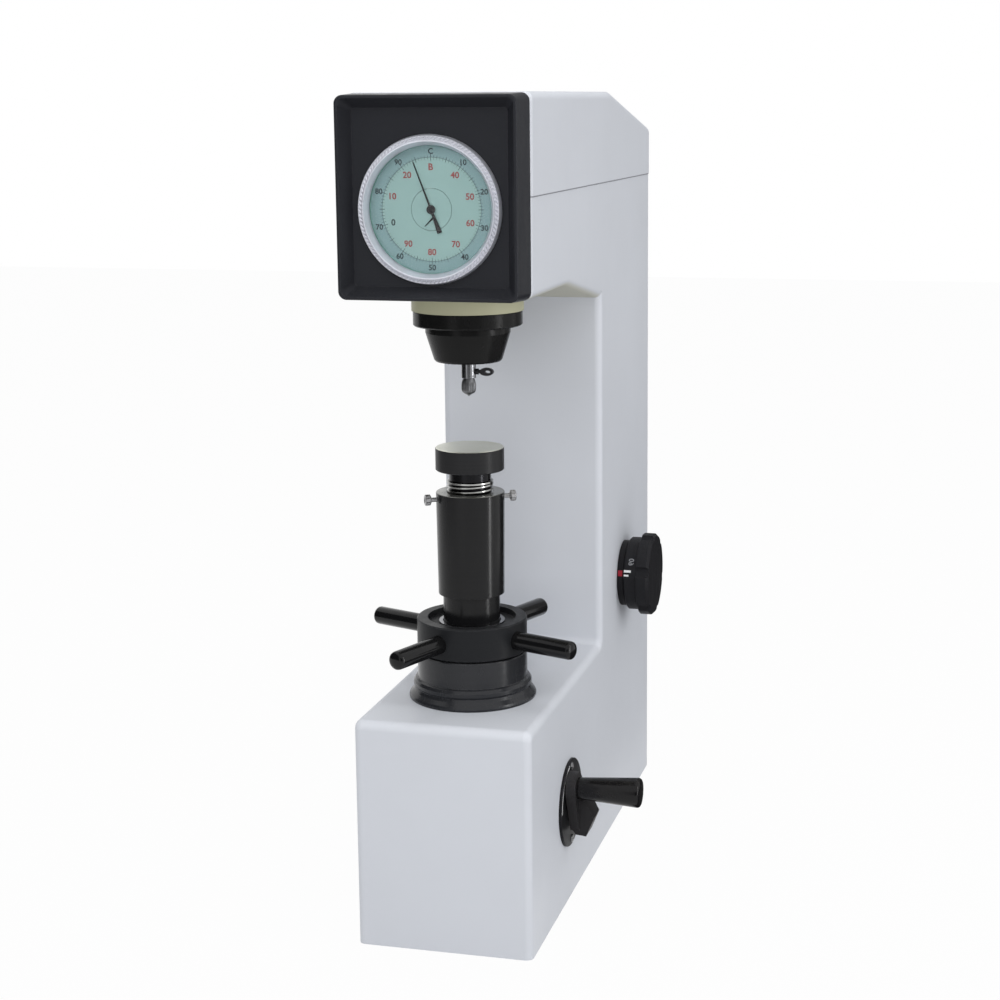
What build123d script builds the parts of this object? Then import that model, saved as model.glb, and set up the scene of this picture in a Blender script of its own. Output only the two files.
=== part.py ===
"""Bench hardness tester of the dead-weight type: a cast C frame carries a dial head over an elevating screw.

Units are millimetres. +X is the operator's right, the front faces -Y, and +Z is up. The origin is the
centre of the base's footprint, on the bench. Each function models one piece, in its resting place.
"""

import os
from math import cos, radians, sin

from build123d import *

# ---- Driving dimensions -------------------------------------------------------------------------
BODY_WIDTH = 156.0
BODY_DEPTH = 508.0
BASE_TOP = 201.4
BODY_HEIGHT = 728.0
COVER_SEAM = 645.0
HEAD_UNDERSIDE = 561.5
COLUMN_FRONT = 20.0
SCREW_Y = -156.0
HEAD_FRONT = -238.0
WALL = 8.0

HALF_WIDTH = BODY_WIDTH / 2
FRONT = -BODY_DEPTH / 2
REAR = BODY_DEPTH / 2
INNER_HALF_WIDTH = HALF_WIDTH - WALL
FLOOR = 10.0
HEAD_FLOOR = HEAD_UNDERSIDE + WALL

PROFILE_ROUND = 8.0
SIDE_ROUND = 6.5
THROAT_ROUND = 32.0
BASE_THROAT_ROUND = 7.0

COVER_WALL = 3.0
COVER_PROUD = 0.6
ROOF_BREAK = 64.0
ROOF_DROP = 36.0

PANEL_HALF_WIDTH = 75.5
PANEL_FRONT = -270.5
PANEL_BOTTOM = 562.5
PANEL_TOP = 726.0
PANEL_DRAFT = 2.4
PANEL_RECESS = 12.6
PANEL_BEVEL = 7.8
PANEL_RIM = 2.5
PANEL_FLOOR = PANEL_FRONT + PANEL_RECESS
PANEL_SKIN = 3.0

GAUGE_Z = 635.0
BEZEL_RADIUS = 60.1
BEZEL_WINDOW = 51.3
DIAL_FRONT = PANEL_FLOOR + 3.8
POINTER_REST_DEG = 21.0
COUNTER_DROP = 8.0
DIAL_CENTRE_RADIUS = 16.8
DIAL_RADIUS = 52.6
CASE_RADIUS = 56.4

ANVIL_RADIUS = 30.0
ANVIL_TOP = 424.4
ANVIL_SEAT = 404.4
SCREW_RADIUS = 20.5
SCREW_BOTTOM = 60.0
SCREW_NECK = 396.0
RUNNING_FIT = 0.07
SLEEVE_TOP = 385.0
SLEEVE_BOTTOM = 294.5
SLEEVE_SCREW_Z = 379.0
SLEEVE_SCREW_DEG = 28.0

HUB_RADIUS = 48.5
HUB_BOTTOM = 243.4
HUB_TOP = 272.8
HUB_RECESS = 268.0
SLEEVE_SEAT = 264.0
BAR_RADIUS = 8.1
BAR_REACH = 108.5
BAR_Z = 257.4
BAR_FIRST_DEG = -20.7
BAR_COUNT = 4

BOSS_RADIUS = 48.4
BOSS_BOTTOM = 544.0
NOSE_BOTTOM = 500.0
SPINDLE_RADIUS = 6.4
SPINDLE_GUIDE_RADIUS = 9.0
SPINDLE_BOTTOM = 485.0
SPINDLE_TOP = 596.0
INDENTER_TIP = 468.8
CLAMP_SCREW_Z = 490.5

LEVER_RATIO = 20.0
LOAD_ARM = 17.0
FULCRUM_Y = SCREW_Y - LOAD_ARM
FULCRUM_Z = 612.0
HANGER_Y = FULCRUM_Y + LOAD_ARM * LEVER_RATIO
WEIGHTS_BOTTOM = 292.0

CRANK_Y = -117.0
CRANK_Z = 92.0
CRANK_SWING_DEG = 75.0
CAM_RADIUS = 39.3
CAM_FALL = 12.6
CAM_X = 31.0
ROCKER_Y = 20.0
ROCKER_Z = 40.0
NOSE_RADIUS = 4.0

KNOB_Y = 124.0
KNOB_Z = 248.0
KNOB_LOBES = 6

UP = (Align.CENTER, Align.CENTER, Align.MIN)


# ---- Shared shapes ------------------------------------------------------------------------------
def block(x_span, y_span, z_span):
    """Box between two limits on each axis."""
    size = [high - low for low, high in (x_span, y_span, z_span)]
    middle = [(high + low) / 2 for low, high in (x_span, y_span, z_span)]
    return Pos(*middle) * Box(*size)


def rod_z(radius, bottom, top, x=0.0, y=SCREW_Y):
    """Upright cylinder, on the screw's axis unless another place is given."""
    return Pos(x, y, bottom) * Cylinder(radius, top - bottom, align=UP)


def rod_x(radius, start, end, y, z):
    """Cylinder that runs along X."""
    return Pos(start, y, z) * Rot(0, 90, 0) * Cylinder(radius, end - start, align=UP)


def rod_y(radius, start, end, x, z):
    """Cylinder that runs along Y."""
    return Pos(x, start, z) * Rot(-90, 0, 0) * Cylinder(radius, end - start, align=UP)


def turned(points, x=0.0, y=SCREW_Y):
    """Revolve a closed (radius, height) outline about an upright axis."""
    outline = Plane.XZ * make_face(Polyline(*points, close=True))
    return Pos(x, y, 0) * revolve(outline, axis=Axis.Z)


def turned_x(points, y, z):
    """Revolve a closed (radius, x) outline about an axis along X."""
    outline = Plane.XZ * make_face(Polyline(*points, close=True))
    return Pos(0, y, z) * Rot(0, 90, 0) * revolve(outline, axis=Axis.Z)


def turned_y(points, z):
    """Revolve a closed (radius, y) outline about the gauge's axis, along Y."""
    outline = Plane.XZ * make_face(Polyline(*points, close=True))
    return Pos(0, 0, z) * Rot(-90, 0, 0) * revolve(outline, axis=Axis.Z)


def side_profile(corners, half_width):
    """Prism across the body from (y, z, round) corners, each rounded by its own radius."""
    outline = make_face(Polyline(*[(y, z) for y, z, _ in corners], close=True))
    for y, z, radius in corners:
        if radius:
            outline = fillet(outline.vertices().sort_by_distance((y, z, 0))[:1], radius)
    across = Plane(origin=(-half_width, 0, 0), x_dir=(0, 1, 0), z_dir=(1, 0, 0))
    return extrude(across * outline, amount=2 * half_width)


def round_sides(solid, half_width, radius, sharp_heights):
    """Round the outline's edges on both side faces, apart from those at the given heights."""
    edges = [
        edge
        for edge in solid.edges()
        if abs(abs(edge.center().X) - half_width) < 0.01
        and all(abs(edge.center().Z - height) > 0.01 for height in sharp_heights)
    ]
    return fillet(edges, radius)


# ---- Frame and covers ---------------------------------------------------------------------------
def frame_casting():
    """Hollow C casting: base, column and head, with the white spindle boss under the head."""
    corners = [
        (FRONT, 0, 0),
        (FRONT, BASE_TOP, PROFILE_ROUND),
        (COLUMN_FRONT, BASE_TOP, BASE_THROAT_ROUND),
        (COLUMN_FRONT, HEAD_UNDERSIDE, THROAT_ROUND),
        (HEAD_FRONT, HEAD_UNDERSIDE, 3.0),
        (HEAD_FRONT, COVER_SEAM, 0),
        (REAR, COVER_SEAM, 0),
        (REAR, 0, 0),
    ]
    body = round_sides(side_profile(corners, HALF_WIDTH), HALF_WIDTH, SIDE_ROUND, (0, COVER_SEAM))
    body += rod_z(BOSS_RADIUS, BOSS_BOTTOM, HEAD_UNDERSIDE + 1)
    inner = (-INNER_HALF_WIDTH, INNER_HALF_WIDTH)
    body -= block(inner, (FRONT + WALL, REAR - WALL), (FLOOR, BASE_TOP - WALL))
    body -= block(inner, (COLUMN_FRONT + WALL, REAR - WALL), (FLOOR, COVER_SEAM + 1))
    body -= block(inner, (HEAD_FRONT + WALL, REAR - WALL), (HEAD_FLOOR, COVER_SEAM + 1))
    body -= block((-47, 47), (HEAD_FRONT - 1, HEAD_FRONT + WALL + 1), (HEAD_FLOOR + 2.5, COVER_SEAM + 1))
    body -= block((-60, 60), (REAR - WALL - 1, REAR + 1), (44, 602))
    body -= rod_z(20, BOSS_BOTTOM - 1, HEAD_FLOOR + 1)
    body -= rod_z(27.1, BASE_TOP - WALL - 1, BASE_TOP + 1)
    body -= rod_x(13, INNER_HALF_WIDTH - 1, HALF_WIDTH + 1, CRANK_Y, CRANK_Z)
    body -= rod_x(12, INNER_HALF_WIDTH - 1, HALF_WIDTH + 1, KNOB_Y, KNOB_Z)
    for x, z in rear_screw_places():
        body -= rod_y(2.5, REAR - WALL - 1, REAR + 1, x, z)
    return body


def hood(inset):
    """Top cover's outer form, drawn in by an inset so that the same form gives its inside."""
    half_width = HALF_WIDTH + COVER_PROUD - inset
    front = HEAD_FRONT + 0.5 + inset
    rear = REAR + COVER_PROUD - inset
    top = BODY_HEIGHT - inset
    bottom = COVER_SEAM - (1.0 if inset else 0.0)
    radius = PROFILE_ROUND - inset
    corners = [
        (front, bottom, 0),
        (front, top, radius),
        (ROOF_BREAK, top, radius),
        (rear, top - ROOF_DROP, radius),
        (rear, bottom, 0),
    ]
    return round_sides(side_profile(corners, half_width), half_width, SIDE_ROUND - inset, (bottom,))


def top_cover():
    """Lift-off cover over the levers, with an arch in front for the gauge."""
    arch = rod_y(46, HEAD_FRONT - 1, HEAD_FRONT + COVER_WALL + 2, 0, GAUGE_Z)
    return hood(0) - hood(COVER_WALL) - arch


def rear_screw_places():
    """Places of the rear cover's six screws, as (x, z)."""
    return [(x, z) for x in (-63, 63) for z in (50, 323, 596)]


def rear_cover():
    """Flat sheet over the column's rear opening."""
    plate = block((-68, 68), (REAR, REAR + 2), (34, 612))
    plate = fillet(plate.edges().filter_by(Axis.Y), 6)
    for x, z in rear_screw_places():
        plate -= rod_y(2.5, REAR - 1, REAR + 3, x, z)
    return plate


def rear_cover_screws():
    """Six pan-head screws that hold the rear cover."""
    screws = []
    for x, z in rear_screw_places():
        head = rod_y(4.2, REAR + 2, REAR + 4.2, x, z)
        head = fillet(head.edges().sort_by(Axis.Y)[-1:], 1.2)
        screws.append(head + rod_y(2.4, REAR - WALL, REAR + 2.1, x, z))
    return Compound(children=screws)


# ---- Dial head ----------------------------------------------------------------------------------
def dial_housing():
    """Moulded surround: a drafted, bevelled frame round a recessed floor, open at the back."""
    middle = (PANEL_BOTTOM + PANEL_TOP) / 2
    height = PANEL_TOP - PANEL_BOTTOM
    mouth = Plane(origin=(0, PANEL_FRONT, middle), x_dir=(1, 0, 0), z_dir=(0, -1, 0))
    floor = Plane(origin=(0, PANEL_FLOOR, middle), x_dir=(1, 0, 0), z_dir=(0, -1, 0))
    back = Plane(origin=(0, HEAD_FRONT, middle), x_dir=(1, 0, 0), z_dir=(0, -1, 0))
    wide = 2 * (PANEL_HALF_WIDTH + PANEL_DRAFT)
    shell = loft(
        [
            back * RectangleRounded(wide, height + PANEL_DRAFT, 7),
            mouth * RectangleRounded(2 * PANEL_HALF_WIDTH, height, 7),
        ]
    )
    shell = fillet(shell.faces().sort_by(Axis.Y)[0].edges(), 1.8)
    mouth_width = 2 * (PANEL_HALF_WIDTH - PANEL_RIM)
    mouth_height = height - 2 * PANEL_RIM
    shell -= loft(
        [
            floor * RectangleRounded(mouth_width - 2 * PANEL_BEVEL, mouth_height - 2 * PANEL_BEVEL, 3),
            mouth * RectangleRounded(mouth_width, mouth_height, 5.5),
        ]
    )
    pocket = block(
        (-PANEL_HALF_WIDTH + PANEL_SKIN, PANEL_HALF_WIDTH - PANEL_SKIN),
        (PANEL_FLOOR + PANEL_SKIN, HEAD_FRONT + 1),
        (PANEL_BOTTOM + PANEL_SKIN, PANEL_TOP - PANEL_SKIN),
    )
    shell -= fillet(pocket.edges().filter_by(Axis.Y), 4)
    for x in (-66, 66):
        for z in (577, 636):
            shell += rod_y(4.5, PANEL_FLOOR + 1, HEAD_FRONT, x, z)
    return shell - rod_y(CASE_RADIUS + 0.3, PANEL_FLOOR - 1, PANEL_FLOOR + PANEL_SKIN + 1, 0, GAUGE_Z)


def gauge_case():
    """Cup that holds the gauge movement, with a collar behind the housing's floor and a stem below."""
    floor = PANEL_FLOOR
    back = HEAD_FRONT + 4
    plate = floor + 5.4
    points = [
        (1.6, plate),
        (54.7, plate),
        (54.7, floor - 0.3),
        (CASE_RADIUS, floor - 0.3),
        (CASE_RADIUS, floor + PANEL_SKIN),
        (60.5, floor + PANEL_SKIN),
        (60.5, plate),
        (CASE_RADIUS, plate + 2),
        (44, plate + 2),
        (44, back),
        (0, back),
        (0, back - 2.5),
        (41, back - 2.5),
        (41, plate + 2),
        (1.6, plate + 2),
    ]
    case = turned_y(points, GAUGE_Z)
    stem_y = stem_place()
    case += rod_z(5, GAUGE_Z - 46.5, GAUGE_Z - 42, 0, stem_y)
    case -= rod_z(2.57, GAUGE_Z - 48, GAUGE_Z - 30, 0, stem_y)
    return case - rod_y(1.0, plate - 1, plate + 3, 0, GAUGE_Z - COUNTER_DROP)


def stem_place():
    """Depth of the gauge's stem and of the measuring lever's front contact."""
    return HEAD_FRONT - 4


def dial_bezel():
    """Turning rim of the gauge: sloping inside, knurled chamfer, plain wall and a skirt in the case."""
    floor = PANEL_FLOOR
    points = [
        (BEZEL_RADIUS, floor - 0.5),
        (BEZEL_RADIUS, floor - 1.2),
        (BEZEL_RADIUS - 1, floor - 5.6),
        (BEZEL_RADIUS - 4.5, floor - 7.0),
        (BEZEL_RADIUS - 5.5, floor - 7.4),
        (BEZEL_WINDOW, floor - 0.8),
        (BEZEL_WINDOW, floor),
        (DIAL_RADIUS + 0.1, floor),
        (DIAL_RADIUS + 0.1, floor + 5),
        (54.4, floor + 5),
        (54.4, floor - 0.5),
    ]
    return turned_y(points, GAUGE_Z)


def dial_spacer():
    """Ring between the dial and the glass."""
    outer = rod_y(DIAL_RADIUS, PANEL_FLOOR + 1.1, DIAL_FRONT, 0, GAUGE_Z)
    return outer - rod_y(BEZEL_WINDOW, PANEL_FLOOR, DIAL_FRONT + 1, 0, GAUGE_Z)


def dial_face():
    """Outer dial, which turns with the bezel round the fixed centre."""
    disc = rod_y(DIAL_RADIUS, DIAL_FRONT, DIAL_FRONT + 0.8, 0, GAUGE_Z)
    return disc - rod_y(DIAL_CENTRE_RADIUS + 0.3, DIAL_FRONT - 1, DIAL_FRONT + 2, 0, GAUGE_Z)


def dial_centre():
    """Fixed centre of the dial, with holes for the two pointer arbors."""
    disc = rod_y(DIAL_CENTRE_RADIUS, DIAL_FRONT, DIAL_FRONT + 1.6, 0, GAUGE_Z)
    disc -= rod_y(1.6, DIAL_FRONT - 1, DIAL_FRONT + 3, 0, GAUGE_Z)
    return disc - rod_y(1.0, DIAL_FRONT - 1, DIAL_FRONT + 3, 0, GAUGE_Z - COUNTER_DROP)


def dial_crystal():
    """Flat glass in front of the pointers."""
    return rod_y(DIAL_RADIUS, PANEL_FLOOR, PANEL_FLOOR + 1.1, 0, GAUGE_Z)


def hand(length, tail, half_tip, half_tail, front, back):
    """Flat pointer that points up from the origin, between two depths."""
    outline = Polyline(
        (-half_tip, length),
        (half_tip, length),
        (half_tip * 2.2, 0),
        (half_tail, -tail),
        (-half_tail, -tail),
        (-half_tip * 2.2, 0),
        close=True,
    )
    facing = Plane(origin=(0, back, 0), x_dir=(1, 0, 0), z_dir=(0, -1, 0))
    return extrude(facing * make_face(outline), amount=back - front)


def main_pointer():
    """Long pointer with its hub and arbor, resting a little left of upright."""
    front = DIAL_FRONT - 1.8
    pointer = hand(40.5, 20.0, 0.35, 2.1, front, front + 0.5)
    pointer = Rot(0, -POINTER_REST_DEG, 0) * pointer
    pointer += rod_y(3.6, front - 0.2, front + 0.6, 0, 0)
    pointer += rod_y(1.2, front - 0.2, DIAL_FRONT + 8, 0, 0)
    return Pos(0, 0, GAUGE_Z) * pointer


def small_pointer():
    """Turn counter's pointer with its arbor, below the gauge's centre."""
    front = DIAL_FRONT - 0.75
    pointer = Rot(0, -135, 0) * hand(7.6, 2.0, 0.3, 0.7, front, front + 0.35)
    pointer += rod_y(0.7, front, DIAL_FRONT + 6, 0, 0)
    return Pos(0, 0, GAUGE_Z - COUNTER_DROP) * pointer


def gauge_plunger():
    """Plunger of the gauge, with its ball tip over the measuring lever."""
    tip = GAUGE_Z - 51.4
    plunger = rod_z(2.5, tip + 2.5, GAUGE_Z - 22, 0, stem_place())
    return plunger + Pos(0, stem_place(), tip + 2.5) * Sphere(2.5)


# ---- Spindle and indenter -----------------------------------------------------------------------
def nose_cone():
    """Black guard under the head: flange, short cylinder and cone round the spindle."""
    return turned(
        [
            (20, BOSS_BOTTOM),
            (46.4, BOSS_BOTTOM),
            (47.2, BOSS_BOTTOM - 0.8),
            (47.2, 532),
            (46.2, 531),
            (37.2, 531),
            (36.8, 530.6),
            (36.8, 525),
            (29.6, NOSE_BOTTOM + 1.6),
            (28.2, NOSE_BOTTOM),
            (SPINDLE_RADIUS + RUNNING_FIT, NOSE_BOTTOM),
            (SPINDLE_RADIUS + RUNNING_FIT, NOSE_BOTTOM + 8),
            (14.05, NOSE_BOTTOM + 8),
            (14.05, 536),
            (20, 536),
        ]
    )


def spindle_bush():
    """Bronze guide of the spindle inside the boss."""
    bush = rod_z(14, 540, HEAD_FLOOR - 0.5) + rod_z(19.9, 540, 544)
    return bush - rod_z(SPINDLE_GUIDE_RADIUS + RUNNING_FIT, 539, HEAD_FLOOR + 1)


def spindle():
    """Stepped spindle: bright lower end with the indenter's socket, spring seat and lever collar."""
    shaft = rod_z(SPINDLE_RADIUS, SPINDLE_BOTTOM, 520) + rod_z(SPINDLE_GUIDE_RADIUS, 519, SPINDLE_TOP)
    shaft += rod_z(13, 512, 516)
    shaft += rod_z(13, HEAD_FLOOR + 3, HEAD_FLOOR + 6.5)
    shaft -= rod_z(3.3, SPINDLE_BOTTOM - 1, SPINDLE_BOTTOM + 16)
    return shaft - rod_x(1.62, 2, SPINDLE_RADIUS + 1, SCREW_Y, CLAMP_SCREW_Z)


def preload_spring():
    """Flat-wire coil that presses the spindle down with the preliminary load."""
    wire, mean, bottom, top, turns = 1.8, 11.2, 516.6, 539.4, 4
    height = top - bottom - wire
    path = Helix(pitch=height / turns, height=height, radius=mean)
    section = Plane(origin=path @ 0, z_dir=path % 0) * Rectangle(wire, wire)
    return Pos(0, SCREW_Y, bottom + wire / 2) * sweep(section, path=path)


def indenter():
    """Cone indenter: shank in the spindle, rounded barrel and pointed tip."""
    return turned(
        [
            (0, INDENTER_TIP),
            (2.2, INDENTER_TIP + 1.6),
            (5.2, INDENTER_TIP + 3.2),
            (6.3, INDENTER_TIP + 6.0),
            (6.3, 480),
            (5.2, 483.6),
            (4.6, SPINDLE_BOTTOM),
            (3.2, SPINDLE_BOTTOM),
            (3.2, SPINDLE_BOTTOM + 14),
            (0, SPINDLE_BOTTOM + 14),
        ]
    )


def indenter_screw():
    """Clamp screw of the indenter, with a flat eye for a finger and thumb."""
    shank = rod_x(1.55, 3.5, 12, SCREW_Y, CLAMP_SCREW_Z)
    shank += rod_x(2.6, SPINDLE_RADIUS + 0.4, 9, SCREW_Y, CLAMP_SCREW_Z)
    facing = Plane(origin=(16.2, SCREW_Y + 1.5, CLAMP_SCREW_Z), x_dir=(1, 0, 0), z_dir=(0, -1, 0))
    eye = extrude(facing * (Ellipse(6.2, 3.5) - Pos(1.2, 0) * Ellipse(2.4, 1.2)), amount=3)
    return shank + eye


# ---- Elevating screw, sleeves and handwheel -----------------------------------------------------
def elevating_screw():
    """Elevating screw without its thread form, with a keyway behind and a socket for the anvil."""
    screw = rod_z(SCREW_RADIUS, SCREW_BOTTOM, SCREW_NECK) + rod_z(18.4, SCREW_NECK - 1, ANVIL_SEAT)
    screw = chamfer(screw.edges().sort_by(Axis.Z)[:1], 2)
    screw -= block((-3, 3), (SCREW_Y + 17.5, SCREW_Y + 22), (SCREW_BOTTOM - 1, 366))
    return screw - rod_z(8, ANVIL_SEAT - 30, ANVIL_SEAT + 1)


def anvil():
    """Flat anvil with its stem in the screw's socket."""
    disc = rod_z(ANVIL_RADIUS, ANVIL_SEAT, ANVIL_TOP)
    disc = chamfer(disc.edges().filter_by(GeomType.CIRCLE), 0.8)
    return disc + rod_z(7.95, ANVIL_SEAT - 28, ANVIL_SEAT + 1)


def sleeve_screw_axis(turn):
    """Frame on a sleeve screw's axis, pointing outwards; turn is 0 for the right one, 180 for the left."""
    return Pos(0, SCREW_Y, SLEEVE_SCREW_Z) * Rot(0, 0, SLEEVE_SCREW_DEG + turn) * Rot(0, 90, 0)


def upper_sleeve():
    """Dust sleeve clamped to the screw's top, slightly tapered."""
    sleeve = turned(
        [
            (SCREW_RADIUS + 0.1, SLEEVE_TOP),
            (29.4, SLEEVE_TOP),
            (30, SLEEVE_TOP - 0.6),
            (29, SLEEVE_BOTTOM),
            (26.2, SLEEVE_BOTTOM),
            (26.2, SLEEVE_TOP - 12),
            (SCREW_RADIUS + 0.1, SLEEVE_TOP - 12),
        ]
    )
    for turn in (0, 180):
        sleeve -= sleeve_screw_axis(turn) * Pos(0, 0, 19) * Cylinder(2.07, 14, align=UP)
    return sleeve


def sleeve_screw(turn):
    """Knurled-head clamp screw of the upper sleeve."""
    shank = Pos(0, 0, 20.9) * Cylinder(2, 14.2, align=UP)
    head = Pos(0, 0, 35) * Cylinder(4.8, 5.5, align=UP)
    head = chamfer(head.edges().filter_by(GeomType.CIRCLE), 0.6)
    return sleeve_screw_axis(turn) * (shank + head)


def lower_sleeve():
    """Dust sleeve that stands in the handwheel, inside the upper one."""
    tube = rod_z(25, SLEEVE_SEAT, 349) - rod_z(22, SLEEVE_SEAT - 1, 350)
    return chamfer(tube.edges().filter_by(GeomType.CIRCLE).sort_by(Axis.Z)[-1:], 1)


def seat_ring():
    """Bright ring that centres the lower sleeve in the handwheel."""
    ring = rod_z(29, SLEEVE_SEAT, 269.5) - rod_z(25.2, SLEEVE_SEAT - 1, 271)
    return chamfer(ring.edges().sort_by(Axis.Z)[-1:], 0.5)


def handwheel_hub():
    """Turning hub with a recessed top and four radial seats for the bars."""
    hub = turned(
        [
            (26.1, HUB_BOTTOM),
            (47.5, HUB_BOTTOM),
            (HUB_RADIUS, HUB_BOTTOM + 1),
            (HUB_RADIUS, HUB_TOP - 1),
            (47.5, HUB_TOP),
            (39, HUB_TOP),
            (38, HUB_RECESS),
            (29.1, HUB_RECESS),
            (29.1, SLEEVE_SEAT),
            (26.1, SLEEVE_SEAT),
        ]
    )
    for index in range(BAR_COUNT):
        hub -= bar_frame(index) * Pos(0, 0, 33) * Cylinder(BAR_RADIUS + 0.05, 20, align=UP)
    return hub


def bar_frame(index):
    """Frame on a bar's axis, pointing outwards from the screw."""
    turn = BAR_FIRST_DEG + index * 360 / BAR_COUNT
    return Pos(0, SCREW_Y, BAR_Z) * Rot(0, 0, turn) * Rot(0, 90, 0)


def handwheel_bars():
    """Four straight bars that turn the hub."""
    bars = []
    for index in range(BAR_COUNT):
        bar = Pos(0, 0, 33.2) * Cylinder(BAR_RADIUS, BAR_REACH - 33.2, align=UP)
        bar = fillet(bar.edges().sort_by(Axis.Z)[-1:], 1.6)
        bars.append(bar_frame(index) * bar)
    return Compound(children=bars)


def elevating_nut():
    """Bronze nut in the hub; the screw runs through it."""
    nut = rod_z(26, 240, SLEEVE_SEAT)
    return nut - rod_z(SCREW_RADIUS + RUNNING_FIT, 239, HUB_TOP)


def thrust_bearing():
    """Thrust bearing that carries the hub on the collar."""
    lower = rod_z(39.5, 236, 238.4) - rod_z(27.6, 235, 239)
    upper = rod_z(39.5, HUB_BOTTOM - 2.4, HUB_BOTTOM) - rod_z(27.6, HUB_BOTTOM - 3, HUB_BOTTOM + 1)
    cage = rod_z(37, 238, HUB_BOTTOM - 2) - rod_z(30, 237, HUB_BOTTOM)
    return lower + cage + upper


def screw_collar():
    """Fixed collar on the base: plain drum, bead and flared foot."""
    return turned(
        [
            (27.1, BASE_TOP),
            (56.0, BASE_TOP),
            (56.3, BASE_TOP + 2),
            (55.4, BASE_TOP + 3.8),
            (52.6, BASE_TOP + 7.2),
            (51.2, BASE_TOP + 9.6),
            (52.2, BASE_TOP + 11.6),
            (52.2, BASE_TOP + 14.6),
            (50.6, BASE_TOP + 17.1),
            (HUB_RADIUS, BASE_TOP + 18.1),
            (HUB_RADIUS, HUB_BOTTOM - 1.8),
            (47.7, HUB_BOTTOM - 1),
            (40, HUB_BOTTOM - 1),
            (40, 236),
            (27.1, 236),
        ]
    )


def guide_bush():
    """Guide of the screw, let into the base's top, with a window for the key."""
    bush = rod_z(27, 150, 236) - rod_z(SCREW_RADIUS + RUNNING_FIT, 149, 237)
    return bush - block((-3, 3), (SCREW_Y + 15, SCREW_Y + 28), (170, 190))


def screw_key():
    """Key that stops the screw from turning."""
    return block((-2.93, 2.93), (SCREW_Y + 17.6, SCREW_Y + 26.6), (170.1, 189.9))


# ---- Levers and weights -------------------------------------------------------------------------
def main_lever():
    """Tapered 20 to 1 load lever from the fulcrum to the hanger."""
    outline = make_face(
        Polyline(
            (FULCRUM_Y - 12, 602),
            (SCREW_Y + 18, 602),
            (HANGER_Y - 20, 604),
            (HANGER_Y + 14, 604),
            (HANGER_Y + 14, 620),
            (HANGER_Y - 20, 620),
            (SCREW_Y + 18, 627),
            (FULCRUM_Y - 12, 622),
            close=True,
        )
    )
    across = Plane(origin=(-8, 0, 0), x_dir=(0, 1, 0), z_dir=(1, 0, 0))
    lever = extrude(across * outline, amount=16)
    lever -= rod_x(5, -9, 9, FULCRUM_Y, FULCRUM_Z)
    return lever - rod_z(6, 600, 622, 0, HANGER_Y)


def fulcrum_pin():
    """Pin that carries the main lever."""
    return rod_x(5, -32, 32, FULCRUM_Y, FULCRUM_Z)


def fulcrum_blocks():
    """Two blocks on the head's floor that hold the fulcrum pin."""
    blocks = []
    for low, high in ((-34, -18), (18, 34)):
        foot = block((low, high), (FULCRUM_Y - 12, FULCRUM_Y + 12), (HEAD_FLOOR, FULCRUM_Z + 12))
        blocks.append(foot - rod_x(5 + RUNNING_FIT, low - 1, high + 1, FULCRUM_Y, FULCRUM_Z))
    return Compound(children=blocks)


def load_knife():
    """Knife edge under the lever, over the spindle's top."""
    outline = make_face(Polyline((-4, 602), (4, 602), (0, 598.2), close=True))
    across = Plane(origin=(-7, SCREW_Y, 0), x_dir=(0, 1, 0), z_dir=(1, 0, 0))
    return extrude(across * outline, amount=14)


def measuring_lever():
    """Light 5 to 1 lever that carries the spindle's travel to the gauge."""
    pivot = measuring_pivot()
    lever = block((-5, 5), (stem_place() - 4, pivot + 4), (577, 583)) + rod_z(15, 577, 583)
    lever += rod_x(4.5, -7, 7, pivot, 580)
    lever -= rod_z(10.2, 576, 584)
    return lever - rod_x(2.5 + RUNNING_FIT, -8, 8, pivot, 580)


def measuring_pivot():
    """Depth of the measuring lever's pivot, which sets its 5 to 1 ratio."""
    return SCREW_Y + (SCREW_Y - stem_place()) / 4


def measuring_bracket():
    """Forked bracket with the measuring lever's pivot pin."""
    pivot = measuring_pivot()
    bracket = block((-12, 12), (pivot - 5, pivot + 5), (HEAD_FLOOR, 587))
    bracket -= block((-8, 8), (pivot - 6, pivot + 6), (HEAD_FLOOR + 2, 588))
    return bracket + rod_x(2.5, -11, 11, pivot, 580)


def hanger_rod():
    """Hanger with its top nut over the lever and its plate under the weights."""
    rod = rod_z(4, 283, 634, 0, HANGER_Y)
    rod += rod_z(42, 284, WEIGHTS_BOTTOM, 0, HANGER_Y) + rod_z(8, 282, 285, 0, HANGER_Y)
    nut = extrude(Pos(0, HANGER_Y, 621.2) * RegularPolygon(9, 6), amount=7.8)
    return rod + nut


def weight(bottom, top):
    """Round weight with a centre hole and a lifting groove."""
    disc = rod_z(60, bottom, top, 0, HANGER_Y)
    disc = chamfer(disc.edges().filter_by(GeomType.CIRCLE), 1.5)
    middle = (bottom + top) / 2
    groove = rod_z(62, middle - 3, middle + 3, 0, HANGER_Y) - rod_z(55, middle - 4, middle + 4, 0, HANGER_Y)
    return disc - groove - rod_z(4.6, bottom - 1, top + 1, 0, HANGER_Y)


def dashpot_cylinder():
    """Oil damper on four legs, open at both ends for the piston rod."""
    body = rod_z(32, 62, 66, 0, HANGER_Y) + rod_z(26, 65, 152, 0, HANGER_Y)
    body -= rod_z(22, 70, 146, 0, HANGER_Y)
    body -= rod_z(6 + RUNNING_FIT, 60, 154, 0, HANGER_Y)
    for x in (-20, 20):
        for y in (HANGER_Y - 19, HANGER_Y + 19):
            body += rod_z(4, FLOOR, 63, x, y)
    return body


def piston_rod():
    """Push rod through the damper, with the damper's piston on it."""
    return rod_z(6, 52.5, 281.5, 0, HANGER_Y) + rod_z(21.7, 108, 120, 0, HANGER_Y)


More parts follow.
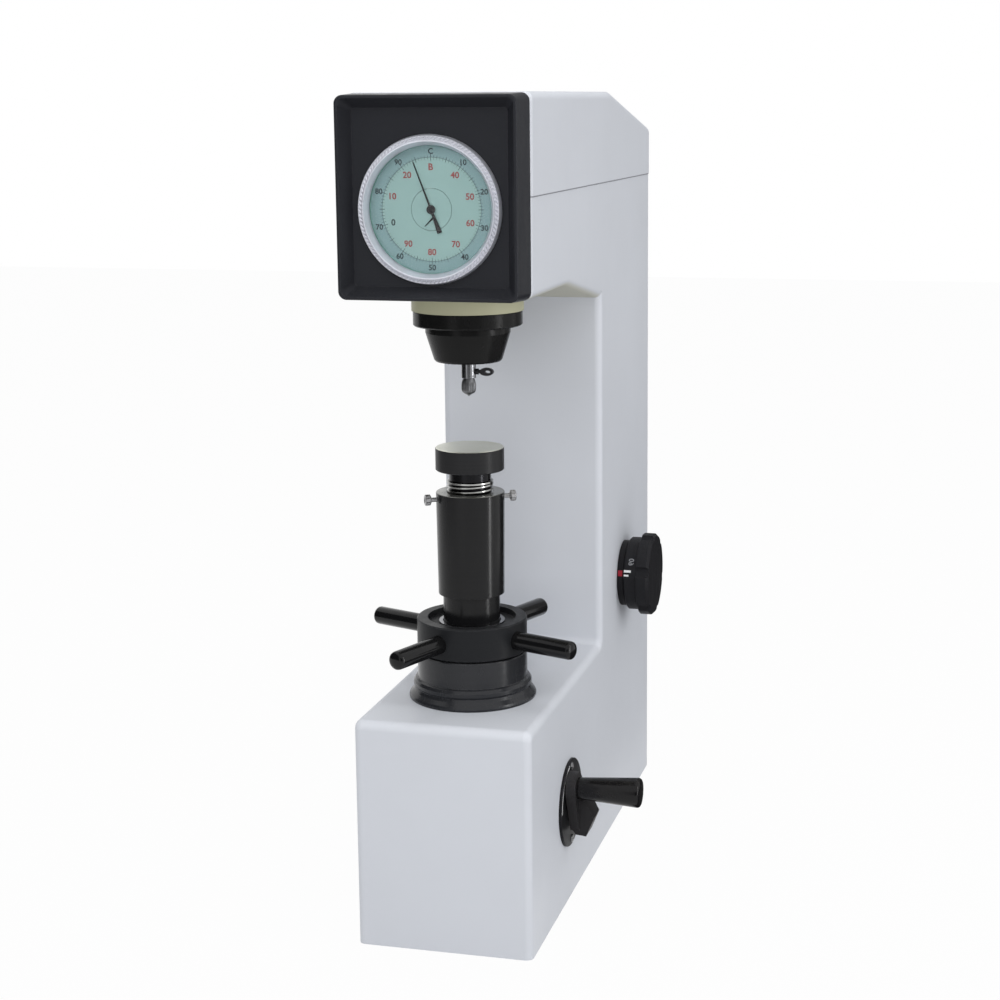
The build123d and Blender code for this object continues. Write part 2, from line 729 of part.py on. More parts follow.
# ---- Loading handle and its linkage -------------------------------------------------------------
def crank_plate():
    """Round plate behind the handle, on the body's right side."""
    plate = rod_x(40, HALF_WIDTH, HALF_WIDTH + 2.6, CRANK_Y, CRANK_Z)
    plate = chamfer(plate.edges().sort_by(Axis.X)[-1:], 0.6)
    plate -= rod_x(9.6, HALF_WIDTH - 1, HALF_WIDTH + 4, CRANK_Y, CRANK_Z)
    return plate - plate_screw_holes(2.1)


def plate_screw_holes(radius):
    """Rods at the plate's two screws, above and below the shaft."""
    rods = [rod_x(radius, HALF_WIDTH - 1, HALF_WIDTH + 4, CRANK_Y, CRANK_Z + side * 34.5) for side in (-1, 1)]
    return rods[0] + rods[1]


def crank_plate_screws():
    """Two low-head screws of the plate."""
    screws = []
    for side in (-1, 1):
        z = CRANK_Z + side * 34.5
        head = rod_x(3.6, HALF_WIDTH + 2.6, HALF_WIDTH + 3.6, CRANK_Y, z)
        screws.append(head + rod_x(2.0, HALF_WIDTH, HALF_WIDTH + 2.8, CRANK_Y, z))
    return Compound(children=screws)


def crank_bush():
    """Bearing of the crank shaft in the side wall."""
    bush = rod_x(13, INNER_HALF_WIDTH - 6, HALF_WIDTH, CRANK_Y, CRANK_Z)
    return bush - rod_x(9 + RUNNING_FIT, INNER_HALF_WIDTH - 7, HALF_WIDTH + 1, CRANK_Y, CRANK_Z)


def crank_shaft():
    """Shaft from the crank arm to the lifting cam."""
    return rod_x(9, CAM_X - 6, 90, CRANK_Y, CRANK_Z)


def crank_arm():
    """Cast arm: grip seat above the shaft and a flared foot below it."""
    near, far = 82.0, 90.5
    seat_y, seat_z = CRANK_Y - 16, CRANK_Z + 20
    web = make_hull(
        (Pos(seat_y, seat_z) * Circle(14.5)).edges()
        + (Pos(CRANK_Y, CRANK_Z) * Circle(16.5)).edges()
        + (Pos(CRANK_Y, CRANK_Z - 18) * Rectangle(24, 8)).edges()
    )
    across = Plane(origin=(near, 0, 0), x_dir=(0, 1, 0), z_dir=(1, 0, 0))
    arm = extrude(across * web, amount=far - near)
    foot = make_face(
        Polyline(
            (near, CRANK_Z + 6),
            (far + 5, CRANK_Z + 6),
            (far + 13, CRANK_Z - 10),
            (far + 6, CRANK_Z - 27),
            (near + 5, CRANK_Z - 26),
            (near, CRANK_Z - 20),
            close=True,
        )
    )
    facing = Plane(origin=(0, CRANK_Y + 12, 0), x_dir=(1, 0, 0), z_dir=(0, -1, 0))
    arm += fillet(extrude(facing * foot, amount=24).edges().group_by(Axis.X)[-1], 2)
    return arm - rod_x(9.02, near - 1, 90.2, CRANK_Y, CRANK_Z)


def crank_grip():
    """Tapered plastic grip, screwed into the arm."""
    near, far = 90.5, 148.5
    return turned_x(
        [(0, near), (9.6, near), (13.3, far - 3.5), (12.6, far - 1), (10.4, far), (0, far)],
        CRANK_Y - 16,
        CRANK_Z + 20,
    )


def lift_cam():
    """Cam whose edge falls evenly over the handle's swing, so the rocker follows in step."""
    swing = radians(CRANK_SWING_DEG)

    def edge_point(turn):
        reach = CAM_RADIUS - CAM_FALL * turn / swing
        return (-reach * sin(turn), -reach * cos(turn))

    edge = Spline(*[edge_point(swing * step / 6) for step in range(7)])
    rear = (CAM_RADIUS * sin(radians(12)), -CAM_RADIUS * cos(radians(12)))
    outline = edge + Polyline(edge_point(swing), (-9, 6), (9, 6), rear, edge_point(0))
    across = Plane(origin=(CAM_X - 4, CRANK_Y, CRANK_Z), x_dir=(0, 1, 0), z_dir=(1, 0, 0))
    cam = extrude(across * make_face(outline), amount=8)
    cam += rod_x(15, CAM_X - 4, CAM_X + 4, CRANK_Y, CRANK_Z)
    return cam - rod_x(9.02, CAM_X - 5, CAM_X + 5, CRANK_Y, CRANK_Z)


def rocker():
    """Long rocker under the cam, with a foot that lifts the push rod."""
    low, high = ROCKER_Z - 6, ROCKER_Z + 6
    bar = block((CAM_X - 4, CAM_X + 4), (CRANK_Y - 7, HANGER_Y + 8), (low, high))
    bar += block((-8, CAM_X + 4), (HANGER_Y - 8, HANGER_Y + 8), (low, high))
    bar += rod_x(10, CAM_X - 4, CAM_X + 4, ROCKER_Y, ROCKER_Z)
    for y, x_span in ((CRANK_Y, (CAM_X - 4, CAM_X + 4)), (HANGER_Y, (-8, 8))):
        bar += rod_x(NOSE_RADIUS, *x_span, y, ROCKER_Z + 8)
        bar += block(x_span, (y - NOSE_RADIUS, y + NOSE_RADIUS), (high - 1, ROCKER_Z + 8))
    return bar - rod_x(5 + RUNNING_FIT, CAM_X - 5, CAM_X + 5, ROCKER_Y, ROCKER_Z)


def rocker_bracket():
    """Forked foot on the base's floor with the rocker's pin."""
    bracket = block((CAM_X - 12, CAM_X + 12), (ROCKER_Y - 12, ROCKER_Y + 12), (FLOOR, ROCKER_Z + 11))
    bracket -= block((CAM_X - 6, CAM_X + 6), (ROCKER_Y - 13, ROCKER_Y + 13), (FLOOR + 4, ROCKER_Z + 12))
    return bracket - rod_x(5, CAM_X - 13, CAM_X + 13, ROCKER_Y, ROCKER_Z)


def rocker_pin():
    """Pivot pin of the rocker."""
    return rod_x(5, CAM_X - 12, CAM_X + 12, ROCKER_Y, ROCKER_Z)


# ---- Load selector ------------------------------------------------------------------------------
def index_ring():
    """Fixed ring behind the knob; it carries the index mark."""
    ring = rod_x(33, HALF_WIDTH, HALF_WIDTH + 6.6, KNOB_Y, KNOB_Z)
    ring = fillet(ring.edges().sort_by(Axis.X)[-1:], 1.5)
    return ring - rod_x(7.6, HALF_WIDTH - 1, HALF_WIDTH + 8, KNOB_Y, KNOB_Z)


def selector_knob():
    """Load knob: plain drum and a fluted grip of six broad lobes."""
    near = HALF_WIDTH + 7.2
    knob = turned_x(
        [
            (0, near),
            (35.2, near),
            (36.5, near + 1.3),
            (36.5, 98),
            (40.2, 98),
            (41, 98.8),
            (41, 108.5),
            (38.5, 111),
            (0, 111.6),
        ],
        KNOB_Y,
        KNOB_Z,
    )
    for index in range(KNOB_LOBES):
        turn = radians(15 + index * 360 / KNOB_LOBES)
        knob -= rod_x(5.5, 97.9, 113, KNOB_Y - 42.3 * cos(turn), KNOB_Z + 42.3 * sin(turn))
    return knob - rod_x(7, near - 1, 100, KNOB_Y, KNOB_Z)


def selector_shaft():
    """Selector shaft with its two weight-lifting cams."""
    shaft = rod_x(7, -60, 100, KNOB_Y, KNOB_Z)
    for x in (-40, 40):
        cam = rod_x(18, x - 4, x + 4, KNOB_Y, KNOB_Z)
        for index in range(3):
            turn = radians(30 + 120 * index)
            cam -= rod_x(9, x - 5, x + 5, KNOB_Y + 22 * cos(turn), KNOB_Z + 22 * sin(turn))
        shaft += cam
    return shaft


def selector_bush():
    """Bearing of the selector shaft in the side wall."""
    bush = rod_x(12, INNER_HALF_WIDTH - 4, HALF_WIDTH, KNOB_Y, KNOB_Z)
    return bush - rod_x(7 + RUNNING_FIT, INNER_HALF_WIDTH - 5, HALF_WIDTH + 1, KNOB_Y, KNOB_Z)


def sub_parts():
    """Every piece under its node's name."""
    return {
        "frame_casting": frame_casting(),
        "top_cover": top_cover(),
        "rear_cover": rear_cover(),
        "rear_cover_screws": rear_cover_screws(),
        "dial_housing": dial_housing(),
        "gauge_case": gauge_case(),
        "dial_bezel": dial_bezel(),
        "dial_spacer": dial_spacer(),
        "dial_face": dial_face(),
        "dial_centre": dial_centre(),
        "dial_crystal": dial_crystal(),
        "main_pointer": main_pointer(),
        "small_pointer": small_pointer(),
        "gauge_plunger": gauge_plunger(),
        "nose_cone": nose_cone(),
        "spindle_bush": spindle_bush(),
        "spindle": spindle(),
        "preload_spring": preload_spring(),
        "indenter": indenter(),
        "indenter_screw": indenter_screw(),
        "elevating_screw": elevating_screw(),
        "anvil": anvil(),
        "upper_sleeve": upper_sleeve(),
        "sleeve_screw_right": sleeve_screw(0),
        "sleeve_screw_left": sleeve_screw(180),
        "lower_sleeve": lower_sleeve(),
        "seat_ring": seat_ring(),
        "handwheel_hub": handwheel_hub(),
        "handwheel_bars": handwheel_bars(),
        "elevating_nut": elevating_nut(),
        "thrust_bearing": thrust_bearing(),
        "screw_collar": screw_collar(),
        "guide_bush": guide_bush(),
        "screw_key": screw_key(),
        "main_lever": main_lever(),
        "fulcrum_pin": fulcrum_pin(),
        "fulcrum_blocks": fulcrum_blocks(),
        "load_knife": load_knife(),
        "measuring_lever": measuring_lever(),
        "measuring_bracket": measuring_bracket(),
        "hanger_rod": hanger_rod(),
        "weight_lower": weight(WEIGHTS_BOTTOM, 323),
        "weight_middle": weight(323, 348),
        "weight_upper": weight(348, 379),
        "dashpot_cylinder": dashpot_cylinder(),
        "piston_rod": piston_rod(),
        "crank_plate": crank_plate(),
        "crank_plate_screws": crank_plate_screws(),
        "crank_bush": crank_bush(),
        "crank_shaft": crank_shaft(),
        "crank_arm": crank_arm(),
        "crank_grip": crank_grip(),
        "lift_cam": lift_cam(),
        "rocker": rocker(),
        "rocker_bracket": rocker_bracket(),
        "rocker_pin": rocker_pin(),
        "index_ring": index_ring(),
        "selector_knob": selector_knob(),
        "selector_shaft": selector_shaft(),
        "selector_bush": selector_bush(),
    }


os.makedirs("parts", exist_ok=True)
for node, shape in sub_parts().items():
    export_step(shape, f"parts/{node}.step")
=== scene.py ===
"""Finishes, fine pieces, light and camera of a bench hardness tester of the dead-weight type.

The frame's axes: +X is the operator's right, the front faces -Y and +Z is up. Sizes in the classes are
millimetres, because the shop drawing is; a mesh is brought to metres when its piece is finished.
"""
import logging
from dataclasses import dataclass
from enum import Enum
from math import atan2, cos, degrees, hypot, pi, radians, sin
from typing import Sequence

import bmesh
import bpy
from mathutils import Matrix, Vector


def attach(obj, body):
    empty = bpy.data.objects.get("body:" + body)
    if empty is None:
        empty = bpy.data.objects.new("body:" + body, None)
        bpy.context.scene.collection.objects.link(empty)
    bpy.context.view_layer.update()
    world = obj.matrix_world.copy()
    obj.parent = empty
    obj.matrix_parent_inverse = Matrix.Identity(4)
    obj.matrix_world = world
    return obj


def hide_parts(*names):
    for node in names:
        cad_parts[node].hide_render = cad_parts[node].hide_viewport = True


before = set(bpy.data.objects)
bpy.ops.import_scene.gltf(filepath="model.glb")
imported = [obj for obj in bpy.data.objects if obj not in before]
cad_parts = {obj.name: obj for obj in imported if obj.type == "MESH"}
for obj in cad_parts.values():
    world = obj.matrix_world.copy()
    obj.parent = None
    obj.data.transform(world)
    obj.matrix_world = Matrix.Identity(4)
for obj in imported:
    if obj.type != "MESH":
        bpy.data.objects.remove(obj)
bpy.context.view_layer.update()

LOG = logging.getLogger("hardness_tester")
MM = 0.001
TURN = 2 * pi
Rgb = tuple[int, int, int]
Rgba = tuple[float, float, float, float]
Point = tuple[float, float, float]
Socket = bpy.types.NodeSocket
Corners = list[bmesh.types.BMVert]


# ---- Small tools ---------------------------------------------------------------------------------
def linear(colour: Rgb, factor: float = 1.0, lift: float = 0.0) -> Rgba:
    """Turn an 8-bit display colour into scene-linear RGBA.

    Args:
        colour: Red, green and blue from 0 to 255.
        factor: Share by which the linear colour is made lighter or deeper.
        lift: Amount added to the linear colour.

    Returns:
        The linear colour with full alpha.
    """
    channels = []
    for value in colour:
        share = value / 255
        light = share / 12.92 if share <= 0.04045 else ((share + 0.055) / 1.055) ** 2.4
        channels.append(min(1.0, light * factor + lift))
    return (*channels, 1.0)


def only_verts(items: Sequence[object]) -> Corners:
    """Return the corners among the items that an operator gave back."""
    return [item for item in items if isinstance(item, bmesh.types.BMVert)]


class Axis(Enum):
    """Direction of a turned part's axis, with the Euler turn that lays it along Z."""

    X = (0.0, -pi / 2, 0.0)
    Y = (pi / 2, 0.0, 0.0)
    Z = (0.0, 0.0, 0.0)


class Facing(Enum):
    """Side of the tester that a flat mark is read from, by the turn about Z of a front mark."""

    FRONT = 0.0
    RIGHT = pi / 2
    REAR = pi

    def turn(self) -> Matrix:
        """Return the turn from a flat drawing in XY to this side, with its normal outwards."""
        return Matrix.Rotation(self.value, 4, "Z") @ Matrix.Rotation(pi / 2, 4, "X")


class Lit(Enum):
    """What a lamp adds: the plain light on colours, or only its streak in gloss and metal."""

    COLOUR = "colour"
    GLOSS = "gloss"


# ---- Shader wiring -------------------------------------------------------------------------------
class Wiring:
    """Short calls that add and join the nodes of one tree."""

    def __init__(self, tree: bpy.types.NodeTree) -> None:
        """Keep the tree of a material, group or world."""
        self.tree = tree

    def add(self, kind: str, **settings: object) -> bpy.types.Node:
        """Add a node and set its properties.

        Args:
            kind: Blender's type name of the node.
            **settings: Properties of the node.

        Returns:
            The new node.
        """
        node = self.tree.nodes.new(kind)
        for name, value in settings.items():
            setattr(node, name, value)
        return node

    def feed(self, target: Socket, value: object) -> None:
        """Link a socket to the target, or set the target's own value.

        Args:
            target: Input socket.
            value: Output socket, number, colour or vector.
        """
        if isinstance(value, Socket):
            self.tree.links.new(value, target)
        else:
            target.default_value = value

    def math(self, operation: str, first: object, second: object = 0.0, clamp: bool = False) -> Socket:
        """Work out one sum.

        Args:
            operation: Blender's name of the operation.
            first: First number or socket.
            second: Second number or socket.
            clamp: Whether the result stays between 0 and 1.

        Returns:
            The result's socket.
        """
        node = self.add("ShaderNodeMath", operation=operation, use_clamp=clamp)
        self.feed(node.inputs[0], first)
        self.feed(node.inputs[1], second)
        return node.outputs[0]

    def split(self, vector: Socket) -> Sequence[Socket]:
        """Return the three parts of a vector."""
        node = self.add("ShaderNodeSeparateXYZ")
        self.feed(node.inputs[0], vector)
        return node.outputs

    def radius(self, parts: Sequence[Socket]) -> Socket:
        """Work out the distance from the Z axis.

        Args:
            parts: The place's X, Y and Z.

        Returns:
            The distance's socket.
        """
        squares = [self.math("MULTIPLY", part, part) for part in (parts[0], parts[1])]
        return self.math("SQRT", self.math("ADD", *squares))

    def span(self, value: object, start: float, stop: float, low: float = 0.0, high: float = 1.0) -> Socket:
        """Map a value from one span to another, held at its ends.

        Args:
            value: Value to map.
            start: Value that gives low.
            stop: Value that gives high.
            low: Result at start.
            high: Result at stop.

        Returns:
            The result's socket.
        """
        node = self.add("ShaderNodeMapRange", clamp=True)
        for socket, number in zip(node.inputs[:5], (value, start, stop, low, high)):
            self.feed(socket, number)
        return node.outputs[0]

    def mix(self, share: object, first: object, second: object) -> Socket:
        """Mix two colours.

        Args:
            share: Share of the second colour.
            first: First colour or socket.
            second: Second colour or socket.

        Returns:
            The mixed colour's socket.
        """
        node = self.add("ShaderNodeMix", data_type="RGBA")
        for place, value in ((0, share), (6, first), (7, second)):
            self.feed(node.inputs[place], value)
        return node.outputs[2]

    def noise(self, vector: Socket, scale: object, detail: float, roughness: float) -> Socket:
        """Add a noise pattern.

        Args:
            vector: Place that the pattern is read at.
            scale: Grains per metre.
            detail: Number of finer layers.
            roughness: Strength of the finer layers.

        Returns:
            The noise value, from 0 to 1.
        """
        node = self.add("ShaderNodeTexNoise")
        for name, value in (("Vector", vector), ("Scale", scale), ("Detail", detail), ("Roughness", roughness)):
            self.feed(node.inputs[name], value)
        return node.outputs["Fac"]

    def blend(self, share: Socket, first: Socket, second: Socket, output: bpy.types.Node) -> None:
        """Mix two shaders into an output.

        Args:
            share: Share of the second shader.
            first: First shader.
            second: Second shader.
            output: Output node of the material or world.
        """
        node = self.add("ShaderNodeMixShader")
        for place, value in enumerate((share, first, second)):
            self.feed(node.inputs[place], value)
        self.feed(output.inputs["Surface"], node.outputs[0])


class Effects:
    """Shader groups that several finishes share, each built once."""

    def __init__(self) -> None:
        """Build every group."""
        self.grain = self._build_grain()
        self.lathe = self._build_lathe()
        self.wear = self._build_wear()
        self.marks = self._build_marks()

    @staticmethod
    def _open(name: str, inputs: dict[str, float], outputs: Sequence[str]
              ) -> tuple[Wiring, bpy.types.Node, bpy.types.Node]:
        """Start a group that reads a vector and some numbers.

        Args:
            name: The group's name.
            inputs: Name and starting value of each number.
            outputs: Name of each output; one called Normal is a vector.

        Returns:
            The wiring, the group's input node and its output node.
        """
        tree = bpy.data.node_groups.new(name, "ShaderNodeTree")
        tree.interface.new_socket("Vector", in_out="INPUT", socket_type="NodeSocketVector")
        for label, value in inputs.items():
            socket = tree.interface.new_socket(label, in_out="INPUT", socket_type="NodeSocketFloat")
            socket.default_value = value
        for label in outputs:
            kind = "NodeSocketVector" if label == "Normal" else "NodeSocketFloat"
            tree.interface.new_socket(label, in_out="OUTPUT", socket_type=kind)
        wiring = Wiring(tree)
        return wiring, wiring.add("NodeGroupInput"), wiring.add("NodeGroupOutput")

    def _build_grain(self) -> bpy.types.NodeTree:
        """Build the fine grain and broad mottle of a cast, coated or moulded surface.

        Returns:
            The group.
        """
        wiring, start, end = self._open("surface_grain", {"Fine Scale": 900.0, "Broad Scale": 14.0},
                                        ("Fine", "Broad", "Height"))
        fine = wiring.noise(start.outputs["Vector"], start.outputs["Fine Scale"], 3.0, 0.6)
        broad = wiring.noise(start.outputs["Vector"], start.outputs["Broad Scale"], 4.0, 0.55)
        wiring.feed(end.inputs["Fine"], wiring.span(fine, 0.3, 0.7))
        wiring.feed(end.inputs["Broad"], wiring.span(broad, 0.32, 0.68))
        wiring.feed(end.inputs["Height"], wiring.math("ADD", fine, wiring.math("MULTIPLY", broad, 0.35)))
        return wiring.tree

    def _build_lathe(self) -> bpy.types.NodeTree:
        """Build the fine rings that a turning or grinding tool leaves round the Z axis.

        Returns:
            The group.
        """
        wiring, start, end = self._open("lathe_rings", {"Rings": 2500.0}, ("Tone", "Height"))
        parts = wiring.split(start.outputs["Vector"])
        place = wiring.add("ShaderNodeCombineXYZ")
        wiring.feed(place.inputs[0], wiring.radius(parts))
        wiring.feed(place.inputs[1], parts[2])
        rings = start.outputs["Rings"]
        fine = wiring.noise(place.outputs[0], rings, 2.0, 0.7)
        coarse = wiring.noise(place.outputs[0], wiring.math("MULTIPLY", rings, 0.22), 1.0, 0.5)
        wiring.feed(end.inputs["Tone"], wiring.math("MULTIPLY", wiring.math("ADD", fine, coarse), 0.5))
        wiring.feed(end.inputs["Height"], fine)
        return wiring.tree

    def _build_wear(self) -> bpy.types.NodeTree:
        """Build the mask of rubbed outer edges, also used for a painted edge highlight, with the softened normal
        that catches light there.

        Returns:
            The group.
        """
        wiring, start, end = self._open("edge_wear_and_highlight", {"Radius": 0.0006, "Breakup": 260.0}, ("Wear", "Normal"))
        soft = wiring.add("ShaderNodeBevel", samples=4)
        wiring.feed(soft.inputs["Radius"], start.outputs["Radius"])
        facing = wiring.add("ShaderNodeVectorMath", operation="DOT_PRODUCT")
        wiring.feed(facing.inputs[0], soft.outputs[0])
        wiring.feed(facing.inputs[1], wiring.add("ShaderNodeNewGeometry").outputs["Normal"])
        edge = wiring.span(facing.outputs["Value"], 0.995, 0.86)
        patch = wiring.noise(start.outputs["Vector"], start.outputs["Breakup"], 3.0, 0.6)
        wiring.feed(end.inputs["Wear"], wiring.math("MULTIPLY", edge, wiring.span(patch, 0.38, 0.62)))
        wiring.feed(end.inputs["Normal"], soft.outputs[0])
        return wiring.tree

    def _build_marks(self) -> bpy.types.NodeTree:
        """Build faint wipe marks and settled dust.

        Returns:
            The group.
        """
        wiring, start, end = self._open("handling_marks", {"Scale": 30.0}, ("Smudge", "Dust"))
        smear = wiring.add("ShaderNodeMapping", vector_type="POINT")
        smear.inputs["Scale"].default_value = (1.0, 1.0, 0.35)
        wiring.feed(smear.inputs["Vector"], start.outputs["Vector"])
        smudge = wiring.noise(smear.outputs[0], start.outputs["Scale"], 5.0, 0.62)
        up = wiring.split(wiring.add("ShaderNodeNewGeometry").outputs["Normal"])[2]
        grit = wiring.math("MULTIPLY", start.outputs["Scale"], 22.0)
        speck = wiring.noise(start.outputs["Vector"], grit, 2.0, 0.6)
        wiring.feed(end.inputs["Smudge"], wiring.span(smudge, 0.35, 0.68))
        settled = wiring.math("MULTIPLY", wiring.span(up, 0.45, 0.95), wiring.span(speck, 0.52, 0.7))
        wiring.feed(end.inputs["Dust"], settled)
        return wiring.tree


class Coat(Wiring):
    """One material being wired: its Principled shader, its output and the piece's own coordinates."""

    def __init__(self, name: str, colour: Rgb, effects: Effects) -> None:
        """Start the material.

        Args:
            name: The material's name.
            colour: Its colour in plain viewports.
            effects: The shared shader groups.
        """
        self.material = bpy.data.materials.new(name)
        self.material.use_nodes = True
        self.material.diffuse_color = linear(colour)
        self.material.node_tree.nodes.clear()
        super().__init__(self.material.node_tree)
        self.effects = effects
        self.shader = self.add("ShaderNodeBsdfPrincipled")
        self.output = self.add("ShaderNodeOutputMaterial")
        self.feed(self.output.inputs["Surface"], self.shader.outputs[0])
        self.place = self.add("ShaderNodeTexCoord").outputs["Object"]

    def dress(self, **values: object) -> None:
        """Set or feed the shader's sockets.

        Args:
            **values: Socket names, with underscores for spaces, and what each gets.
        """
        for name, value in values.items():
            self.feed(self.shader.inputs[name.replace("_", " ")], value)

    def centred(self, axis: Axis, centre: Point) -> Socket:
        """Move a pattern to an axis and lay that axis along Z.

        Args:
            axis: The part's axis.
            centre: A point on the axis, in millimetres.

        Returns:
            The moved coordinates.
        """
        node = self.add("ShaderNodeMapping", vector_type="POINT")
        turn = Matrix.Rotation(axis.value[1], 3, "Y") @ Matrix.Rotation(axis.value[0], 3, "X")
        node.inputs["Rotation"].default_value = axis.value
        node.inputs["Location"].default_value = -(turn @ Vector(centre)) * MM
        self.feed(node.inputs["Vector"], self.place)
        return node.outputs[0]

    def effect(self, tree: bpy.types.NodeTree, place: Socket | None = None,
               **values: float) -> bpy.types.bpy_prop_collection:
        """Place a shared group with its own values.

        Args:
            tree: The group.
            place: Coordinates for it, where they aren't the piece's own.
            **values: Values of its inputs, with underscores for spaces.

        Returns:
            The group's outputs, by name.
        """
        node = self.add("ShaderNodeGroup", node_tree=tree)
        self.feed(node.inputs["Vector"], self.place if place is None else place)
        for name, value in values.items():
            node.inputs[name.replace("_", " ")].default_value = value
        return node.outputs

    def stain(self, tone: object, mask: Socket, share: float, colour: object) -> Socket:
        """Lay a second colour over a tone where a mask says.

        Args:
            tone: The tone so far.
            mask: Where the second colour lies.
            share: Its strength.
            colour: The second colour.

        Returns:
            The new tone.
        """
        return self.mix(self.math("MULTIPLY", mask, share), tone, colour)

    def bump(self, height: Socket, depth: float, strength: float, normal: Socket | None = None) -> None:
        """Feed the shader's normal with a bump.

        Args:
            height: Height socket.
            depth: Depth of the relief in metres.
            strength: Share of the bump from 0 to 1.
            normal: Normal socket to start from.
        """
        node = self.add("ShaderNodeBump")
        for name, value in (("Strength", strength), ("Distance", depth), ("Height", height)):
            self.feed(node.inputs[name], value)
        if normal is not None:
            self.feed(node.inputs["Normal"], normal)
        self.dress(Normal=node.outputs[0])


# ---- Finishes ------------------------------------------------------------------------------------
@dataclass(frozen=True)
class Finish:
    """A surface finish; each kind says how it feeds its shader."""

    name: str
    colour: Rgb

    def build(self, effects: Effects) -> bpy.types.Material:
        """Make the material.

        Args:
            effects: The shared shader groups.

        Returns:
            The material.
        """
        coat = Coat(self.name, self.colour, effects)
        self.dress(coat)
        return coat.material

    def dress(self, coat: Coat) -> None:
        """Feed the shader; each kind of finish has its own way."""
        raise NotImplementedError


@dataclass(frozen=True)
class PowderCoat(Finish):
    """Baked powder coat with a faint orange peel, and painted warm shade on the head's underside and spindle boss
    where it has one.
    """

    roughness: float = 0.42
    dust: Rgb = (172, 168, 158)
    boss_shade_colour: Rgb | None = None
    boss_radius: float = 49.0
    boss_y: float = -156.0
    boss_top: float = 561.4
    boss_height: float = 20.0
    underside_shade_colour: Rgb = (197, 196, 182)
    under_from: float = 500.0
    relief: float = 0.00006

    def dress(self, coat: Coat) -> None:
        """Feed the coat's colour, sheen and peel.

        Args:
            coat: The material being wired.
        """
        grain = coat.effect(coat.effects.grain, Fine_Scale=1500.0, Broad_Scale=9.0)
        marks = coat.effect(coat.effects.marks, Scale=16.0)
        tone = coat.stain(linear(self.colour, 0.965), grain["Broad"], 0.8, linear(self.colour))
        # Painted shade: warm tints stand in for the shade on the head's underside and on the boss under it.
        if self.boss_shade_colour is not None:
            tone = coat.mix(self._underside_shade_mask(coat), tone, linear(self.underside_shade_colour))
            tone = coat.mix(self._boss_shade_mask(coat), tone, linear(self.boss_shade_colour))
        tone = coat.stain(tone, marks["Dust"], 0.05, linear(self.dust))
        sheen = coat.span(marks["Smudge"], 0.0, 1.0, self.roughness - 0.03, self.roughness + 0.05)
        coat.dress(Base_Color=tone, Roughness=sheen, Specular_IOR_Level=0.16)
        coat.bump(grain["Height"], self.relief, 0.35)

    def _underside_shade_mask(self, coat: Coat) -> Socket:
        """Find the head's underside, where a warm shade is painted.

        Args:
            coat: The material being wired.

        Returns:
            A mask that is 1 on the underside.
        """
        high = coat.math("GREATER_THAN", coat.split(coat.place)[2], self.under_from * MM)
        down = coat.split(coat.add("ShaderNodeNewGeometry").outputs["Normal"])[2]
        return coat.math("MULTIPLY", coat.span(down, -0.35, -0.9), high)

    def _boss_shade_mask(self, coat: Coat) -> Socket:
        """Find the boss under the head, where a warm shade is painted.

        Args:
            coat: The material being wired.

        Returns:
            A mask that is 1 on the boss.
        """
        parts = coat.split(coat.centred(Axis.Z, (0.0, self.boss_y, 0.0)))
        near = coat.math("LESS_THAN", coat.radius(parts), self.boss_radius * MM)
        below = coat.math("LESS_THAN", parts[2], self.boss_top * MM)
        above = coat.math("GREATER_THAN", parts[2], (self.boss_top - self.boss_height) * MM)
        return coat.math("MULTIPLY", coat.math("MULTIPLY", near, below), above)


@dataclass(frozen=True)
class MouldedBlack(Finish):
    """Moulded plastic, from a fine spark texture to a polished gloss."""

    roughness: float = 0.5
    specular: float = 0.3
    grain_scale: float = 2600.0
    relief: float = 0.00012
    coat: float = 0.0
    edge_wear_and_highlight_colour: Rgb = (74, 75, 79)
    dust: Rgb = (120, 118, 112)

    def dress(self, coat: Coat) -> None:
        """Feed the plastic's colour, sheen and texture.

        Args:
            coat: The material being wired.
        """
        grain = coat.effect(coat.effects.grain, Fine_Scale=self.grain_scale, Broad_Scale=24.0)
        marks = coat.effect(coat.effects.marks, Scale=45.0)
        wear = coat.effect(coat.effects.wear, Radius=0.0007, Breakup=180.0)
        tone = coat.mix(grain["Fine"], linear(self.colour), linear(self.colour, 1.22))
        # Edge wear and painted highlight: the lighter edge tone stands for rubbed edges and for light caught along
        # them.
        tone = coat.stain(tone, wear["Wear"], 0.5, linear(self.edge_wear_and_highlight_colour))
        tone = coat.stain(tone, marks["Dust"], 0.10, linear(self.dust))
        sheen = coat.span(marks["Smudge"], 0.0, 1.0, self.roughness * 0.85, min(1.0, self.roughness * 1.2))
        coat.dress(Base_Color=tone, Roughness=sheen, Specular_IOR_Level=self.specular,
                   Coat_Weight=self.coat, Coat_Roughness=0.06)
        coat.bump(grain["Height"], self.relief, 0.5, wear["Normal"])


